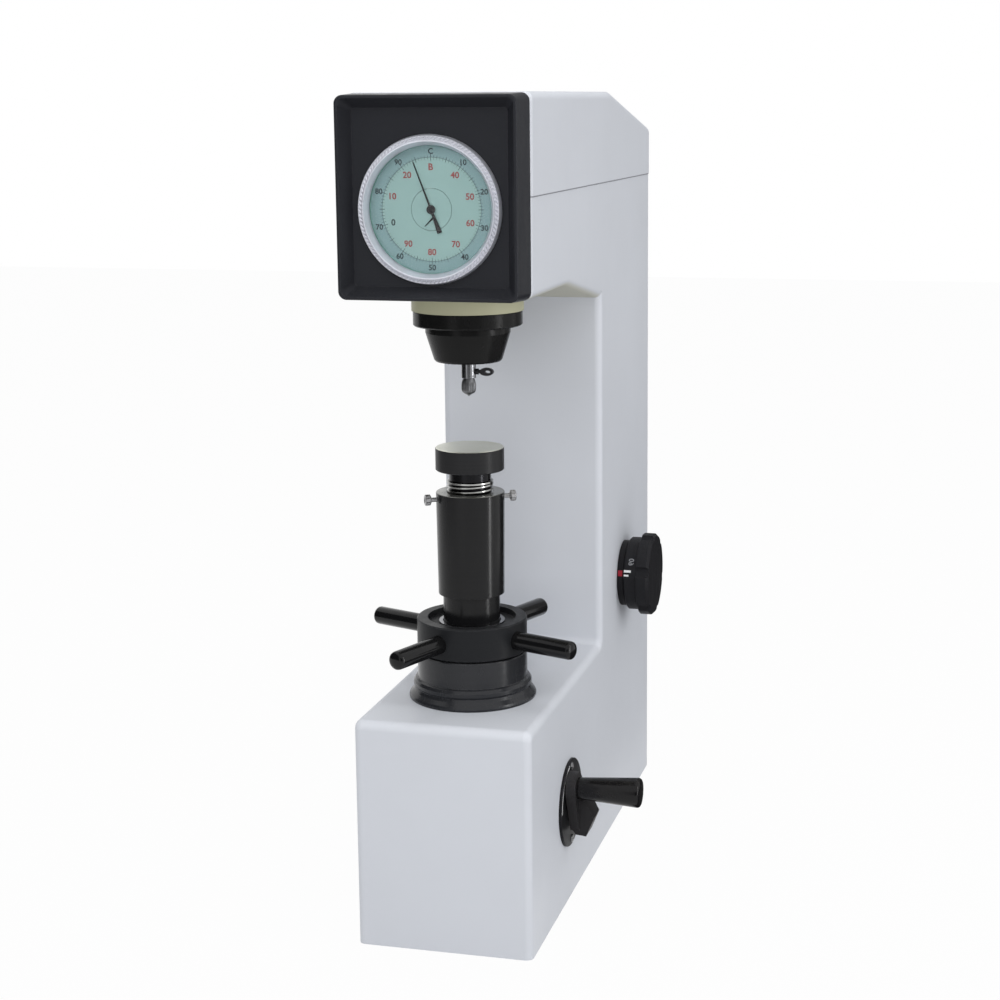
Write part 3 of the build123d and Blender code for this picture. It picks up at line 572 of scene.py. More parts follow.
@dataclass(frozen=True)
class BlackenedSteel(Finish):
    """Oil-blackened turned steel, bright where it is ground bare above a height."""

    axis: Axis = Axis.Z
    centre: Point = (0.0, -156.0, 0.0)
    roughness: float = 0.36
    specular: float = 0.35
    rings: float = 1800.0
    bare_above: float | None = None
    bare_colour: Rgb = (178, 178, 170)
    rubbed: Rgb = (112, 112, 116)
    dust: Rgb = (122, 118, 110)
    relief: float = 0.00003

    def dress(self, coat: Coat) -> None:
        """Feed the steel's colour, sheen and turning marks.

        Args:
            coat: The material being wired.
        """
        lathe = coat.effect(coat.effects.lathe, coat.centred(self.axis, self.centre), Rings=self.rings)
        marks = coat.effect(coat.effects.marks, Scale=38.0)
        wear = coat.effect(coat.effects.wear, Radius=0.0005, Breakup=210.0)
        tone = coat.mix(lathe["Tone"], linear(self.colour), linear(self.colour, 1.5))
        tone = coat.stain(tone, wear["Wear"], 0.55, linear(self.rubbed))
        tone = coat.stain(tone, marks["Dust"], 0.12, linear(self.dust))
        if self.bare_above is not None:
            bare = coat.math("GREATER_THAN", coat.split(coat.place)[2], self.bare_above * MM)
            bright = tuple(min(255, channel + 22) for channel in self.bare_colour)
            ground = coat.mix(lathe["Tone"], linear(self.bare_colour), linear(bright))
            tone = coat.mix(bare, tone, ground)
            coat.dress(Metallic=coat.math("MULTIPLY", bare, 0.85))
        sheen = coat.span(marks["Smudge"], 0.0, 1.0, self.roughness - 0.05, self.roughness + 0.08)
        coat.dress(Base_Color=tone, Roughness=sheen, Specular_IOR_Level=self.specular)
        coat.bump(lathe["Height"], self.relief, 0.4, wear["Normal"])


@dataclass(frozen=True)
class TurnedMetal(Finish):
    """Bright metal with turning marks round its axis."""

    axis: Axis = Axis.Z
    centre: Point = (0.0, -156.0, 0.0)
    roughness: float = 0.26
    metallic: float = 1.0
    rings: float = 2200.0
    tarnish: Rgb = (120, 118, 112)
    root_shade: Rgb = (38, 38, 40)
    root_shade_radius: float | None = None
    root_shade_depth: float = 2.0
    relief: float = 0.00002

    def dress(self, coat: Coat) -> None:
        """Feed the metal's colour, sheen and turning marks.

        Args:
            coat: The material being wired.
        """
        centred = coat.centred(self.axis, self.centre)
        lathe = coat.effect(coat.effects.lathe, centred, Rings=self.rings)
        marks = coat.effect(coat.effects.marks, Scale=70.0)
        wear = coat.effect(coat.effects.wear, Radius=0.0003, Breakup=300.0)
        tone = coat.mix(coat.span(lathe["Tone"], 0.35, 0.6), linear(self.colour, 0.72), linear(self.colour))
        tone = coat.stain(tone, marks["Smudge"], 0.12, linear(self.tarnish))
        # Painted shade: the tone darkens from the given radius inwards, into the thread's root.
        if self.root_shade_radius is not None:
            radius = coat.radius(coat.split(centred))
            inner = (self.root_shade_radius - self.root_shade_depth) * MM
            tone = coat.mix(coat.span(radius, self.root_shade_radius * MM, inner), tone, linear(self.root_shade))
        sheen = coat.math("ADD", coat.math("MULTIPLY", lathe["Tone"], 0.12),
                          coat.math("MULTIPLY", marks["Smudge"], 0.07))
        coat.dress(Base_Color=tone, Roughness=coat.math("ADD", sheen, self.roughness - 0.08),
                   Metallic=self.metallic)
        coat.bump(lathe["Height"], self.relief, 0.5, wear["Normal"])


@dataclass(frozen=True)
class CastIron(Finish):
    """Rough cast metal, darker in its pits, with machined edges rubbed bright."""

    roughness: float = 0.62
    metallic: float = 0.6
    rubbed: Rgb = (170, 170, 172)
    relief: float = 0.00025

    def dress(self, coat: Coat) -> None:
        """Feed the casting's colour, sheen and skin.

        Args:
            coat: The material being wired.
        """
        grain = coat.effect(coat.effects.grain, Fine_Scale=420.0, Broad_Scale=30.0)
        wear = coat.effect(coat.effects.wear, Radius=0.0009, Breakup=150.0)
        tone = coat.mix(grain["Fine"], linear(self.colour, 0.55), linear(self.colour))
        tone = coat.stain(tone, wear["Wear"], 0.6, linear(self.rubbed))
        sheen = coat.span(grain["Broad"], 0.0, 1.0, self.roughness - 0.1, self.roughness + 0.12)
        coat.dress(Base_Color=tone, Roughness=sheen, Metallic=self.metallic)
        coat.bump(grain["Height"], self.relief, 0.6, wear["Normal"])


@dataclass(frozen=True)
class DialPaper(Finish):
    """Matt printed dial, darker outside the ring of divisions: partly its own deeper tint, partly painted shade
    from the bezel.
    """

    rim_tint_and_shade: Rgb = (120, 160, 152)
    rim_radius: float = 41.6
    centre: Point = (0.0, 0.0, 635.0)
    bloom: Rgb = (190, 208, 202)
    relief: float = 0.00001

    def dress(self, coat: Coat) -> None:
        """Feed the dial's tints, the painted shade by the bezel and the paper tooth.

        Args:
            coat: The material being wired.
        """
        radius = coat.radius(coat.split(coat.centred(Axis.Y, self.centre)))
        outside = coat.math("GREATER_THAN", radius, self.rim_radius * MM)
        grain = coat.effect(coat.effects.grain, Fine_Scale=4200.0, Broad_Scale=55.0)
        tone = coat.mix(grain["Broad"], linear(self.colour, 0.95), linear(self.colour))
        # Outside the ring: partly the dial's own deeper tint, partly painted shade cast by the bezel.
        tone = coat.mix(outside, tone, linear(self.rim_tint_and_shade))
        tone = coat.stain(tone, grain["Fine"], 0.05, linear(self.bloom))
        sheen = coat.span(grain["Fine"], 0.0, 1.0, 0.52, 0.64)
        coat.dress(Base_Color=tone, Roughness=sheen, Specular_IOR_Level=0.25)
        coat.bump(grain["Height"], self.relief, 0.3)


@dataclass(frozen=True)
class Ink(Finish):
    """Screen-printed ink, slightly uneven in tone."""

    roughness: float = 0.5
    relief: float = 0.00001

    def dress(self, coat: Coat) -> None:
        """Feed the ink's colour and film.

        Args:
            coat: The material being wired.
        """
        grain = coat.effect(coat.effects.grain, Fine_Scale=3800.0, Broad_Scale=400.0)
        tone = coat.mix(grain["Broad"], linear(self.colour), linear(self.colour, 1.12, 0.008))
        sheen = coat.span(grain["Fine"], 0.0, 1.0, self.roughness - 0.06, self.roughness + 0.08)
        coat.dress(Base_Color=tone, Roughness=sheen, Specular_IOR_Level=0.25)
        coat.bump(grain["Height"], self.relief, 0.3)


@dataclass(frozen=True)
class ClearGlass(Finish):
    """Flat clear glass that lets the light through to the dial."""

    roughness: float = 0.02

    def dress(self, coat: Coat) -> None:
        """Feed the glass's faint smears, and make it clear to shadow rays.

        Args:
            coat: The material being wired.
        """
        marks = coat.effect(coat.effects.marks, Scale=60.0)
        sheen = coat.span(marks["Smudge"], 0.0, 1.0, self.roughness * 0.5, self.roughness * 2.0)
        coat.dress(Base_Color=linear(self.colour), Roughness=sheen, Transmission_Weight=1.0, IOR=1.12)
        rays = coat.add("ShaderNodeLightPath").outputs["Is Shadow Ray"]
        clear = coat.add("ShaderNodeBsdfTransparent").outputs[0]
        coat.blend(rays, coat.shader.outputs[0], clear, coat.output)


class Rack:
    """All finishes of the tester, each made into a material once."""

    def __init__(self) -> None:
        """Make the shared groups and an empty store."""
        self.effects = Effects()
        self.made: dict[str, bpy.types.Material] = {}

    def get(self, finish: Finish) -> bpy.types.Material:
        """Return a finish's material, making it on first use.

        Args:
            finish: The finish.

        Returns:
            Its material.
        """
        if finish.name not in self.made:
            self.made[finish.name] = finish.build(self.effects)
        return self.made[finish.name]


SCREW_LINE = (0.0, -156.0, 0.0)
DIAL_LINE = (0.0, 0.0, 635.0)
CRANK_LINE = (0.0, -117.0, 92.0)
KNOB_LINE = (0.0, 124.0, 248.0)
GRIP_LINE = (0.0, -133.0, 112.0)
HANGER_LINE = (0.0, 167.0, 0.0)

BODY_COAT = PowderCoat("body_powder_coat", (212, 215, 221), boss_shade_colour=(180, 179, 152))
COVER_COAT = PowderCoat("cover_powder_coat", (212, 215, 221))
PANEL_BLACK = MouldedBlack("panel_textured_black", (37, 38, 42), roughness=0.34, specular=0.14)
RING_BLACK = MouldedBlack("index_ring_black", (30, 30, 32), roughness=0.42, specular=0.08)
KNOB_BLACK = MouldedBlack("knob_satin_black", (36, 36, 38), 0.4, 0.05, 900.0, 0.00003)
GRIP_BLACK = MouldedBlack("grip_gloss_black", (18, 17, 18), 0.16, 0.2, 700.0, 0.00002, 0.05)
BAR_BLACK = MouldedBlack("bar_gloss_black", (16, 16, 17), 0.14, 0.22, 700.0, 0.00002, 0.05)
NOSE_BLACK = BlackenedSteel("nose_blackened_steel", (21, 21, 21), roughness=0.24, specular=0.12)
SLEEVE_BLACK = BlackenedSteel("sleeve_blackened_steel", (20, 20, 21), roughness=0.2, specular=0.22,
                              bare_above=384.6, bare_colour=(126, 126, 122))
LOWER_SLEEVE_BLACK = BlackenedSteel("inner_sleeve_blackened_steel", (18, 18, 19), roughness=0.2, specular=0.22)
HUB_BLACK = BlackenedSteel("hub_blackened_steel", (28, 29, 31), roughness=0.36, specular=0.12)
COLLAR_BLACK = BlackenedSteel("collar_blackened_steel", (31, 32, 35), roughness=0.24, specular=0.34)
ANVIL_STEEL = BlackenedSteel("anvil_two_tone_steel", (36, 36, 37), roughness=0.34, specular=0.12, rings=3000.0,
                             bare_above=423.9, bare_colour=(216, 217, 206))
PLATE_BLACK = BlackenedSteel("plate_blackened_steel", (24, 24, 26), Axis.X, CRANK_LINE, specular=0.08)
ARM_BLACK = BlackenedSteel("arm_blackened_steel", (40, 39, 40), Axis.X, CRANK_LINE, 0.42, 0.1)
SMALL_BLACK = BlackenedSteel("small_blackened_steel", (34, 34, 36), Axis.X, (0.0, -156.0, 490.5), 0.3, 0.2)
KNURL_STEEL = TurnedMetal("indenter_dark_steel", (112, 113, 116), roughness=0.34, rings=2600.0)
SPINDLE_BRIGHT = TurnedMetal("spindle_turned_steel", (146, 147, 151), roughness=0.2)
THREAD_BRIGHT = TurnedMetal("thread_turned_steel", (190, 190, 188), roughness=0.2, rings=3200.0,
                            root_shade_radius=20.1, root_shade_depth=1.5)
SCREW_BRIGHT = TurnedMetal("small_screw_bright_steel", (176, 176, 178), roughness=0.28, rings=900.0)
BEZEL_CHROME = TurnedMetal("bezel_satin_chrome", (238, 240, 250), Axis.Y, DIAL_LINE, 0.4, 0.6, 2600.0)
CASE_BRIGHT = TurnedMetal("gauge_case_bright", (182, 182, 184), Axis.Y, DIAL_LINE)
CRANK_BRIGHT = TurnedMetal("crank_shaft_bright", (184, 184, 186), Axis.X, CRANK_LINE)
KNOB_BRIGHT = TurnedMetal("selector_shaft_bright", (184, 184, 186), Axis.X, KNOB_LINE)
REAR_BRIGHT = TurnedMetal("rear_mechanism_bright", (184, 184, 186), Axis.Z, HANGER_LINE)
GROUND_STEEL = TurnedMetal("ground_steel", (176, 176, 174), Axis.X, CRANK_LINE, 0.34, rings=1300.0)
BRONZE = TurnedMetal("turned_bronze", (190, 150, 92), tarnish=(112, 84, 48))
SPRING_WIRE = TurnedMetal("drawn_spring_wire", (150, 150, 152), roughness=0.3, rings=4000.0)
CAST_GREY = CastIron("cast_grey_iron", (128, 129, 131))
DIAL_GREEN = DialPaper("dial_pale_green", (116, 143, 141), rim_tint_and_shade=(102, 127, 130))
SPACER_GREEN = DialPaper("dial_spacer_green", (104, 128, 134))
POINTER_BLACK = Ink("pointer_matt_black", (20, 20, 22))
INK_BLACK = Ink("dial_black_ink", (24, 32, 36))
INK_RED = Ink("dial_red_ink", (112, 54, 54))
INK_GREY = Ink("dial_grey_ink", (84, 104, 100))
INK_WHITE = Ink("white_marking_ink", (222, 222, 222))
INK_SILVER = Ink("silver_marking_ink", (128, 129, 132))
MARK_RED = Ink("index_red_ink", (150, 34, 48))
SEAL_GREY = MouldedBlack("seal_grey", (138, 140, 145), roughness=0.6, specular=0.1, edge_wear_and_highlight_colour=(146, 148, 152))
CRYSTAL = ClearGlass("gauge_clear_glass", (255, 255, 255))

NODE_FINISHES: dict[str, Finish] = {
    "frame_casting": BODY_COAT, "top_cover": COVER_COAT, "rear_cover": COVER_COAT,
    "dial_housing": PANEL_BLACK, "gauge_case": CASE_BRIGHT, "dial_spacer": SPACER_GREEN,
    "dial_face": DIAL_GREEN, "dial_centre": DIAL_GREEN, "dial_crystal": CRYSTAL,
    "main_pointer": POINTER_BLACK, "small_pointer": POINTER_BLACK, "gauge_plunger": SPINDLE_BRIGHT,
    "nose_cone": NOSE_BLACK, "spindle_bush": BRONZE, "spindle": SPINDLE_BRIGHT,
    "preload_spring": SPRING_WIRE, "indenter_screw": SMALL_BLACK, "anvil": ANVIL_STEEL,
    "upper_sleeve": SLEEVE_BLACK, "lower_sleeve": LOWER_SLEEVE_BLACK, "seat_ring": SPINDLE_BRIGHT,
    "handwheel_hub": HUB_BLACK, "handwheel_bars": BAR_BLACK, "elevating_nut": BRONZE,
    "thrust_bearing": SPINDLE_BRIGHT, "screw_collar": COLLAR_BLACK, "guide_bush": BRONZE,
    "screw_key": SPINDLE_BRIGHT, "main_lever": CAST_GREY, "fulcrum_pin": CRANK_BRIGHT,
    "fulcrum_blocks": CAST_GREY, "load_knife": GROUND_STEEL, "measuring_lever": GROUND_STEEL,
    "measuring_bracket": GROUND_STEEL, "hanger_rod": REAR_BRIGHT, "weight_lower": CAST_GREY,
    "weight_middle": CAST_GREY, "weight_upper": CAST_GREY, "dashpot_cylinder": CAST_GREY,
    "piston_rod": REAR_BRIGHT, "crank_plate": PLATE_BLACK, "crank_bush": BRONZE,
    "crank_shaft": CRANK_BRIGHT, "crank_arm": ARM_BLACK, "crank_grip": GRIP_BLACK,
    "lift_cam": GROUND_STEEL, "rocker": CAST_GREY, "rocker_bracket": CAST_GREY,
    "rocker_pin": CRANK_BRIGHT, "index_ring": RING_BLACK, "selector_knob": KNOB_BLACK,
    "selector_shaft": KNOB_BRIGHT, "selector_bush": BRONZE,
}


# ---- Mesh work -----------------------------------------------------------------------------------
class Blank:
    """A mesh being made, in millimetres, that ends as one named piece."""

    def __init__(self, name: str) -> None:
        """Start an empty mesh under the piece's name."""
        self.name = name
        self.bm = bmesh.new()

    def take(self, mesh: bpy.types.Mesh, place: Matrix) -> None:
        """Add a finished mesh at a place.

        Args:
            mesh: Mesh to add; it is removed afterwards.
            place: Its place in the piece.
        """
        before = set(self.bm.verts)
        self.bm.from_mesh(mesh)
        self.move([vert for vert in self.bm.verts if vert not in before], place)
        bpy.data.meshes.remove(mesh)

    def move(self, verts: Corners, place: Matrix) -> None:
        """Move some corners by a matrix.

        Args:
            verts: The corners.
            place: The movement.
        """
        bmesh.ops.transform(self.bm, matrix=place, verts=list(verts))

    def turned(self, profile: Sequence[tuple[float, float]], steps: int, place: Matrix,
               closed: bool = False) -> Corners:
        """Turn a profile of (radius, height) round Z and put it at a place.

        Args:
            profile: Points of the profile, in order.
            steps: Number of steps in the full turn.
            place: Place of the turned form.
            closed: Whether the profile's last point joins its first.

        Returns:
            The form's corners.
        """
        before = set(self.bm.verts)
        line = [self.bm.verts.new((radius, 0.0, height)) for radius, height in profile]
        pairs = list(zip(line, line[1:])) + ([(line[-1], line[0])] if closed else [])
        edges = [self.bm.edges.new(pair) for pair in pairs]
        bmesh.ops.spin(self.bm, geom=line + edges, cent=(0, 0, 0), axis=(0, 0, 1), angle=TURN,
                       steps=steps, use_merge=True, use_normal_flip=False, use_duplicate=False)
        made = [vert for vert in self.bm.verts if vert not in before]
        bmesh.ops.remove_doubles(self.bm, verts=made, dist=1e-4)
        made = [vert for vert in self.bm.verts if vert not in before]
        self.move(made, place)
        return made

    def slab(self, size: Point, place: Matrix) -> Corners:
        """Add a rectangular bar at a place.

        Args:
            size: Its length, width and thickness.
            place: Its place.

        Returns:
            Its corners.
        """
        scale = Matrix.Diagonal((*size, 1.0))
        return bmesh.ops.create_cube(self.bm, size=1.0, matrix=place @ scale)["verts"]

    def finish(self, rack: Rack, finish: Finish, body: str, slot: str, smooth: float = 35.0,
               stands_for: Sequence[str] = ()) -> bpy.types.Object:
        """End the mesh as a piece with its finish and body.

        Args:
            rack: Store of materials.
            finish: The piece's finish.
            body: The CAD body that it rides on.
            slot: The record's material slot; it is not used.
            smooth: Angle in degrees under which faces shade as one.
            stands_for: CAD nodes that the piece replaces.

        Returns:
            The piece.
        """
        bmesh.ops.recalc_face_normals(self.bm, faces=self.bm.faces)
        bmesh.ops.scale(self.bm, vec=(MM, MM, MM), verts=self.bm.verts)
        mesh = bpy.data.meshes.new(self.name)
        self.bm.to_mesh(mesh)
        self.bm.free()
        mesh.materials.append(rack.get(finish))
        mesh.shade_smooth()
        mesh.set_sharp_from_angle(angle=radians(smooth))
        piece = bpy.data.objects.new(self.name, mesh)
        bpy.context.scene.collection.objects.link(piece)
        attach(piece, body)
        if stands_for:
            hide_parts(*stands_for)
        LOG.info("%s: %d faces, on %s", self.name, len(mesh.polygons), body)
        return piece


def glyph(text: str, height: float, weight: float = 0.0, thick: float = 0.03) -> bpy.types.Mesh:
    """Draw generic figures as a thin flat mesh, centred on the origin in XY.

    Args:
        text: Figures to draw.
        height: Height of the figures in millimetres.
        weight: Extra stroke, in millimetres.
        thick: Thickness of the ink in millimetres.

    Returns:
        The mesh, in millimetres.
    """
    curve = bpy.data.curves.new("figures", "FONT")
    curve.body = text
    curve.resolution_u = 3
    curve.offset = weight / height * 0.7
    drawn = bpy.data.objects.new("figures", curve)
    flat = bpy.data.meshes.new_from_object(drawn)
    bpy.data.objects.remove(drawn)
    bpy.data.curves.remove(curve)
    bm = bmesh.new()
    bm.from_mesh(flat)
    bmesh.ops.remove_doubles(bm, verts=bm.verts, dist=1e-5)
    sides = [[vert.co[axis] for vert in bm.verts] for axis in (0, 1)]
    middle = Vector([(min(side) + max(side)) / 2 for side in sides] + [0.0])
    factor = height / (max(sides[1]) - min(sides[1]))
    bmesh.ops.translate(bm, vec=-middle, verts=bm.verts)
    bmesh.ops.scale(bm, vec=(factor, factor, 1.0), verts=bm.verts)
    grown = bmesh.ops.extrude_face_region(bm, geom=bm.faces[:])["geom"]
    bmesh.ops.translate(bm, vec=(0, 0, thick), verts=only_verts(grown))
    bmesh.ops.recalc_face_normals(bm, faces=bm.faces)
    bm.to_mesh(flat)
    bm.free()
    return flat


def screw_head(radius: float, height: float, shank: float, length: float) -> bpy.types.Mesh:
    """Make a crowned screw head with a cross recess, on a plain shank along -Z.

    Args:
        radius: The head's radius.
        height: The head's height above its seat at z 0.
        shank: The shank's radius.
        length: The shank's length below the seat.

    Returns:
        The mesh, in millimetres.
    """
    bm = bmesh.new()
    verts = bmesh.ops.create_circle(bm, cap_ends=True, segments=36, radius=radius)["verts"]
    lower = verts[0].link_faces[0]
    grown = bmesh.ops.extrude_face_region(bm, geom=[lower], use_keep_orig=True)["geom"]
    bmesh.ops.translate(bm, vec=(0, 0, height), verts=only_verts(grown))
    rim = [edge for edge in bm.edges if all(abs(vert.co.z - height) < 1e-6 for vert in edge.verts)]
    bmesh.ops.bevel(bm, geom=rim, offset=min(height * 0.55, radius * 0.3), segments=4, profile=0.5,
                    affect="EDGES", material=-1)
    width, reach = radius * 0.17, radius * 0.62
    for offset in (width, reach):
        for normal in (Vector((0, 1, 0)), Vector((1, 0, 0))):
            for side in (offset, -offset):
                geom = bm.verts[:] + bm.edges[:] + bm.faces[:]
                bmesh.ops.bisect_plane(bm, geom=geom, plane_co=normal * side, plane_no=normal, dist=1e-5)
    pit = []
    for item in bm.faces:
        middle = item.calc_center_median()
        near, far = sorted((abs(middle.x), abs(middle.y)))
        if item.normal.z > 0.3 and middle.z > height * 0.3 and near < width and far < reach:
            pit.append(item)
    sunk = bmesh.ops.extrude_face_region(bm, geom=pit)["geom"]
    bmesh.ops.translate(bm, vec=(0, 0, -height * 0.55), verts=only_verts(sunk))
    bmesh.ops.delete(bm, geom=[item for item in pit if item.is_valid], context="FACES_ONLY")
    rod = bmesh.ops.create_cone(bm, cap_ends=True, segments=20, radius1=shank, radius2=shank, depth=length)["verts"]
    bmesh.ops.translate(bm, vec=(0, 0, -length / 2 + 0.02), verts=rod)
    mesh = bpy.data.meshes.new("screw_head")
    bm.to_mesh(mesh)
    bm.free()
    return mesh


def groove(vert: bmesh.types.BMVert, teeth: int, shift: float = 0.0) -> float:
    """Work out how deep a knurl is at a corner.

    Args:
        vert: The corner, on a form turned round Z.
        teeth: Number of teeth round the form.
        shift: Part of a tooth that the groove is turned by.

    Returns:
        The share of the full depth, from 0 to 1.
    """
    phase = atan2(vert.co.y, vert.co.x) / TURN * teeth + shift
    return 0.5 - 0.5 * cos(TURN * phase)


# ---- Sub-assemblies ------------------------------------------------------------------------------
@dataclass
class Casting:
    """Painted body: the web under the head, the cover's seal and real screw heads at the rear."""

    half_width: float = 78.0
    side_round: float = 6.5
    underside: float = 561.5
    web_start: float = -118.0
    web_end: float = 24.0
    web_stations: int = 24
    web_slope: float = 0.185
    web_ease: float = 20.0
    throat_round: float = 32.0
    throat_y: float = -12.0
    seam_z: float = 645.0
    seal_height: float = 1.1
    seal_proud: float = 0.25
    seal_width: float = 2.0
    head_front: float = -238.0
    rear_y: float = 254.0
    screw_x: float = 63.0
    screw_heights: tuple[float, ...] = (50.0, 323.0, 596.0)
    head_radius: float = 4.2

    def build(self, rack: Rack) -> None:
        """Make the web, the seal and the rear cover's screws.

        Args:
            rack: Store of materials.
        """
        self.build_web(rack)
        self.build_seal(rack)
        self.build_rear_screws(rack)

    def drop(self, y: float) -> float:
        """Return how far the web hangs below the head's flat underside.

        Args:
            y: Place from front to rear.

        Returns:
            The depth of the web there.
        """
        run = y - self.web_start
        if run < self.web_ease:
            return 0.02 + self.web_slope * run * run / (2 * self.web_ease)
        return 0.02 + self.web_slope * (run - self.web_ease / 2)

    def web_top(self, y: float) -> float:
        """Return the height where the web meets the casting's flat side.

        Args:
            y: Place from front to rear.

        Returns:
            The height of the casting's side edge there.
        """
        reach = self.throat_round + self.side_round
        past = max(0.0, y - self.throat_y)
        return self.underside - self.throat_round + (reach * reach - past * past) ** 0.5

    def build_web(self, rack: Rack) -> None:
        """Run the head's underside down into the column as one cast web.

        Args:
            rack: Store of materials.
        """
        blank = Blank("throat_web")
        bm = blank.bm
        flat, edge = self.half_width - self.side_round, self.half_width
        corner = [(sin(radians(step * 15)), 1 - cos(radians(step * 15))) for step in range(7)]
        right = [(flat + self.side_round * across, self.side_round * up) for across, up in corner]
        low = [(-x, up) for x, up in reversed(right)] + right
        under, top = self.underside - self.drop(self.web_start), self.web_top(self.web_start)
        ring = [bm.verts.new((x, self.web_start, under + up)) for x, up in low]
        ring += [bm.verts.new((x, self.web_start, top)) for x in (edge, -edge)]
        first = edges = [bm.edges.new(pair) for pair in zip(ring, ring[1:] + ring[:1])]
        for step in range(1, self.web_stations + 1):
            y = self.web_start + (self.web_end - self.web_start) * step / self.web_stations
            grown = bmesh.ops.extrude_edge_only(bm, edges=edges)["geom"]
            edges = [item for item in grown if isinstance(item, bmesh.types.BMEdge)
                     and all(vert in grown for vert in item.verts)]
            for vert in only_verts(grown):
                share = min(1.0, max(0.0, (abs(vert.co.x) - flat) / self.side_round))
                at_top = abs(abs(vert.co.x) - edge) < 1e-4 and vert.co.z > self.web_top(vert.co.y) - 1e-3
                vert.co.y = y
                up = self.side_round * (1 - (1 - share * share) ** 0.5)
                vert.co.z = self.web_top(y) if at_top else self.underside - self.drop(y) + up
        bmesh.ops.contextual_create(bm, geom=first)
        bmesh.ops.contextual_create(bm, geom=edges)
        blank.finish(rack, BODY_COAT, "frame", "body_paint", 25.0)

    def build_seal(self, rack: Rack) -> None:
        """Lay the seal that shows as a line under the cover.

        Args:
            rack: Store of materials.
        """
        blank = Blank("cover_seal")
        bm = blank.bm
        wide = 2 * (self.half_width + self.seal_proud)
        long = self.rear_y + self.seal_proud - self.head_front
        middle = (self.rear_y + self.seal_proud + self.head_front) / 2
        verts = bmesh.ops.create_grid(bm, x_segments=1, y_segments=1, size=0.5)["verts"]
        bmesh.ops.scale(bm, vec=(wide, long, 1.0), verts=verts)
        bmesh.ops.bevel(bm, geom=verts, offset=self.side_round, segments=6, profile=0.5, affect="VERTICES",
                        material=-1)
        sheet = bm.faces[:]
        bmesh.ops.inset_region(bm, faces=sheet, thickness=self.seal_width, depth=0.0, use_boundary=True,
                               use_even_offset=True)
        bmesh.ops.delete(bm, geom=sheet, context="FACES")
        grown = bmesh.ops.extrude_face_region(bm, geom=bm.faces[:], use_keep_orig=True)["geom"]
        bmesh.ops.translate(bm, vec=(0, 0, -self.seal_height), verts=only_verts(grown))
        blank.move(bm.verts[:], Matrix.Translation((0, middle, self.seam_z + 0.05)))
        blank.finish(rack, SEAL_GREY, "frame", "black_plastic")

    def build_rear_screws(self, rack: Rack) -> None:
        """Make the rear cover's cross-recessed screws.

        Args:
            rack: Store of materials.
        """
        blank = Blank("rear_cover_pan_screws")
        for index, height in enumerate(self.screw_heights):
            for side in (-1, 1):
                spin = Matrix.Rotation(radians(17 + 41 * index * side), 4, "Z")
                spot = Matrix.Translation((side * self.screw_x, self.rear_y + 2.0, height))
                blank.take(screw_head(self.head_radius, 2.2, 2.4, 9.8), spot @ Facing.REAR.turn() @ spin)
        blank.finish(rack, SCREW_BRIGHT, "frame", "bright_steel", 40.0, ("rear_cover_screws",))


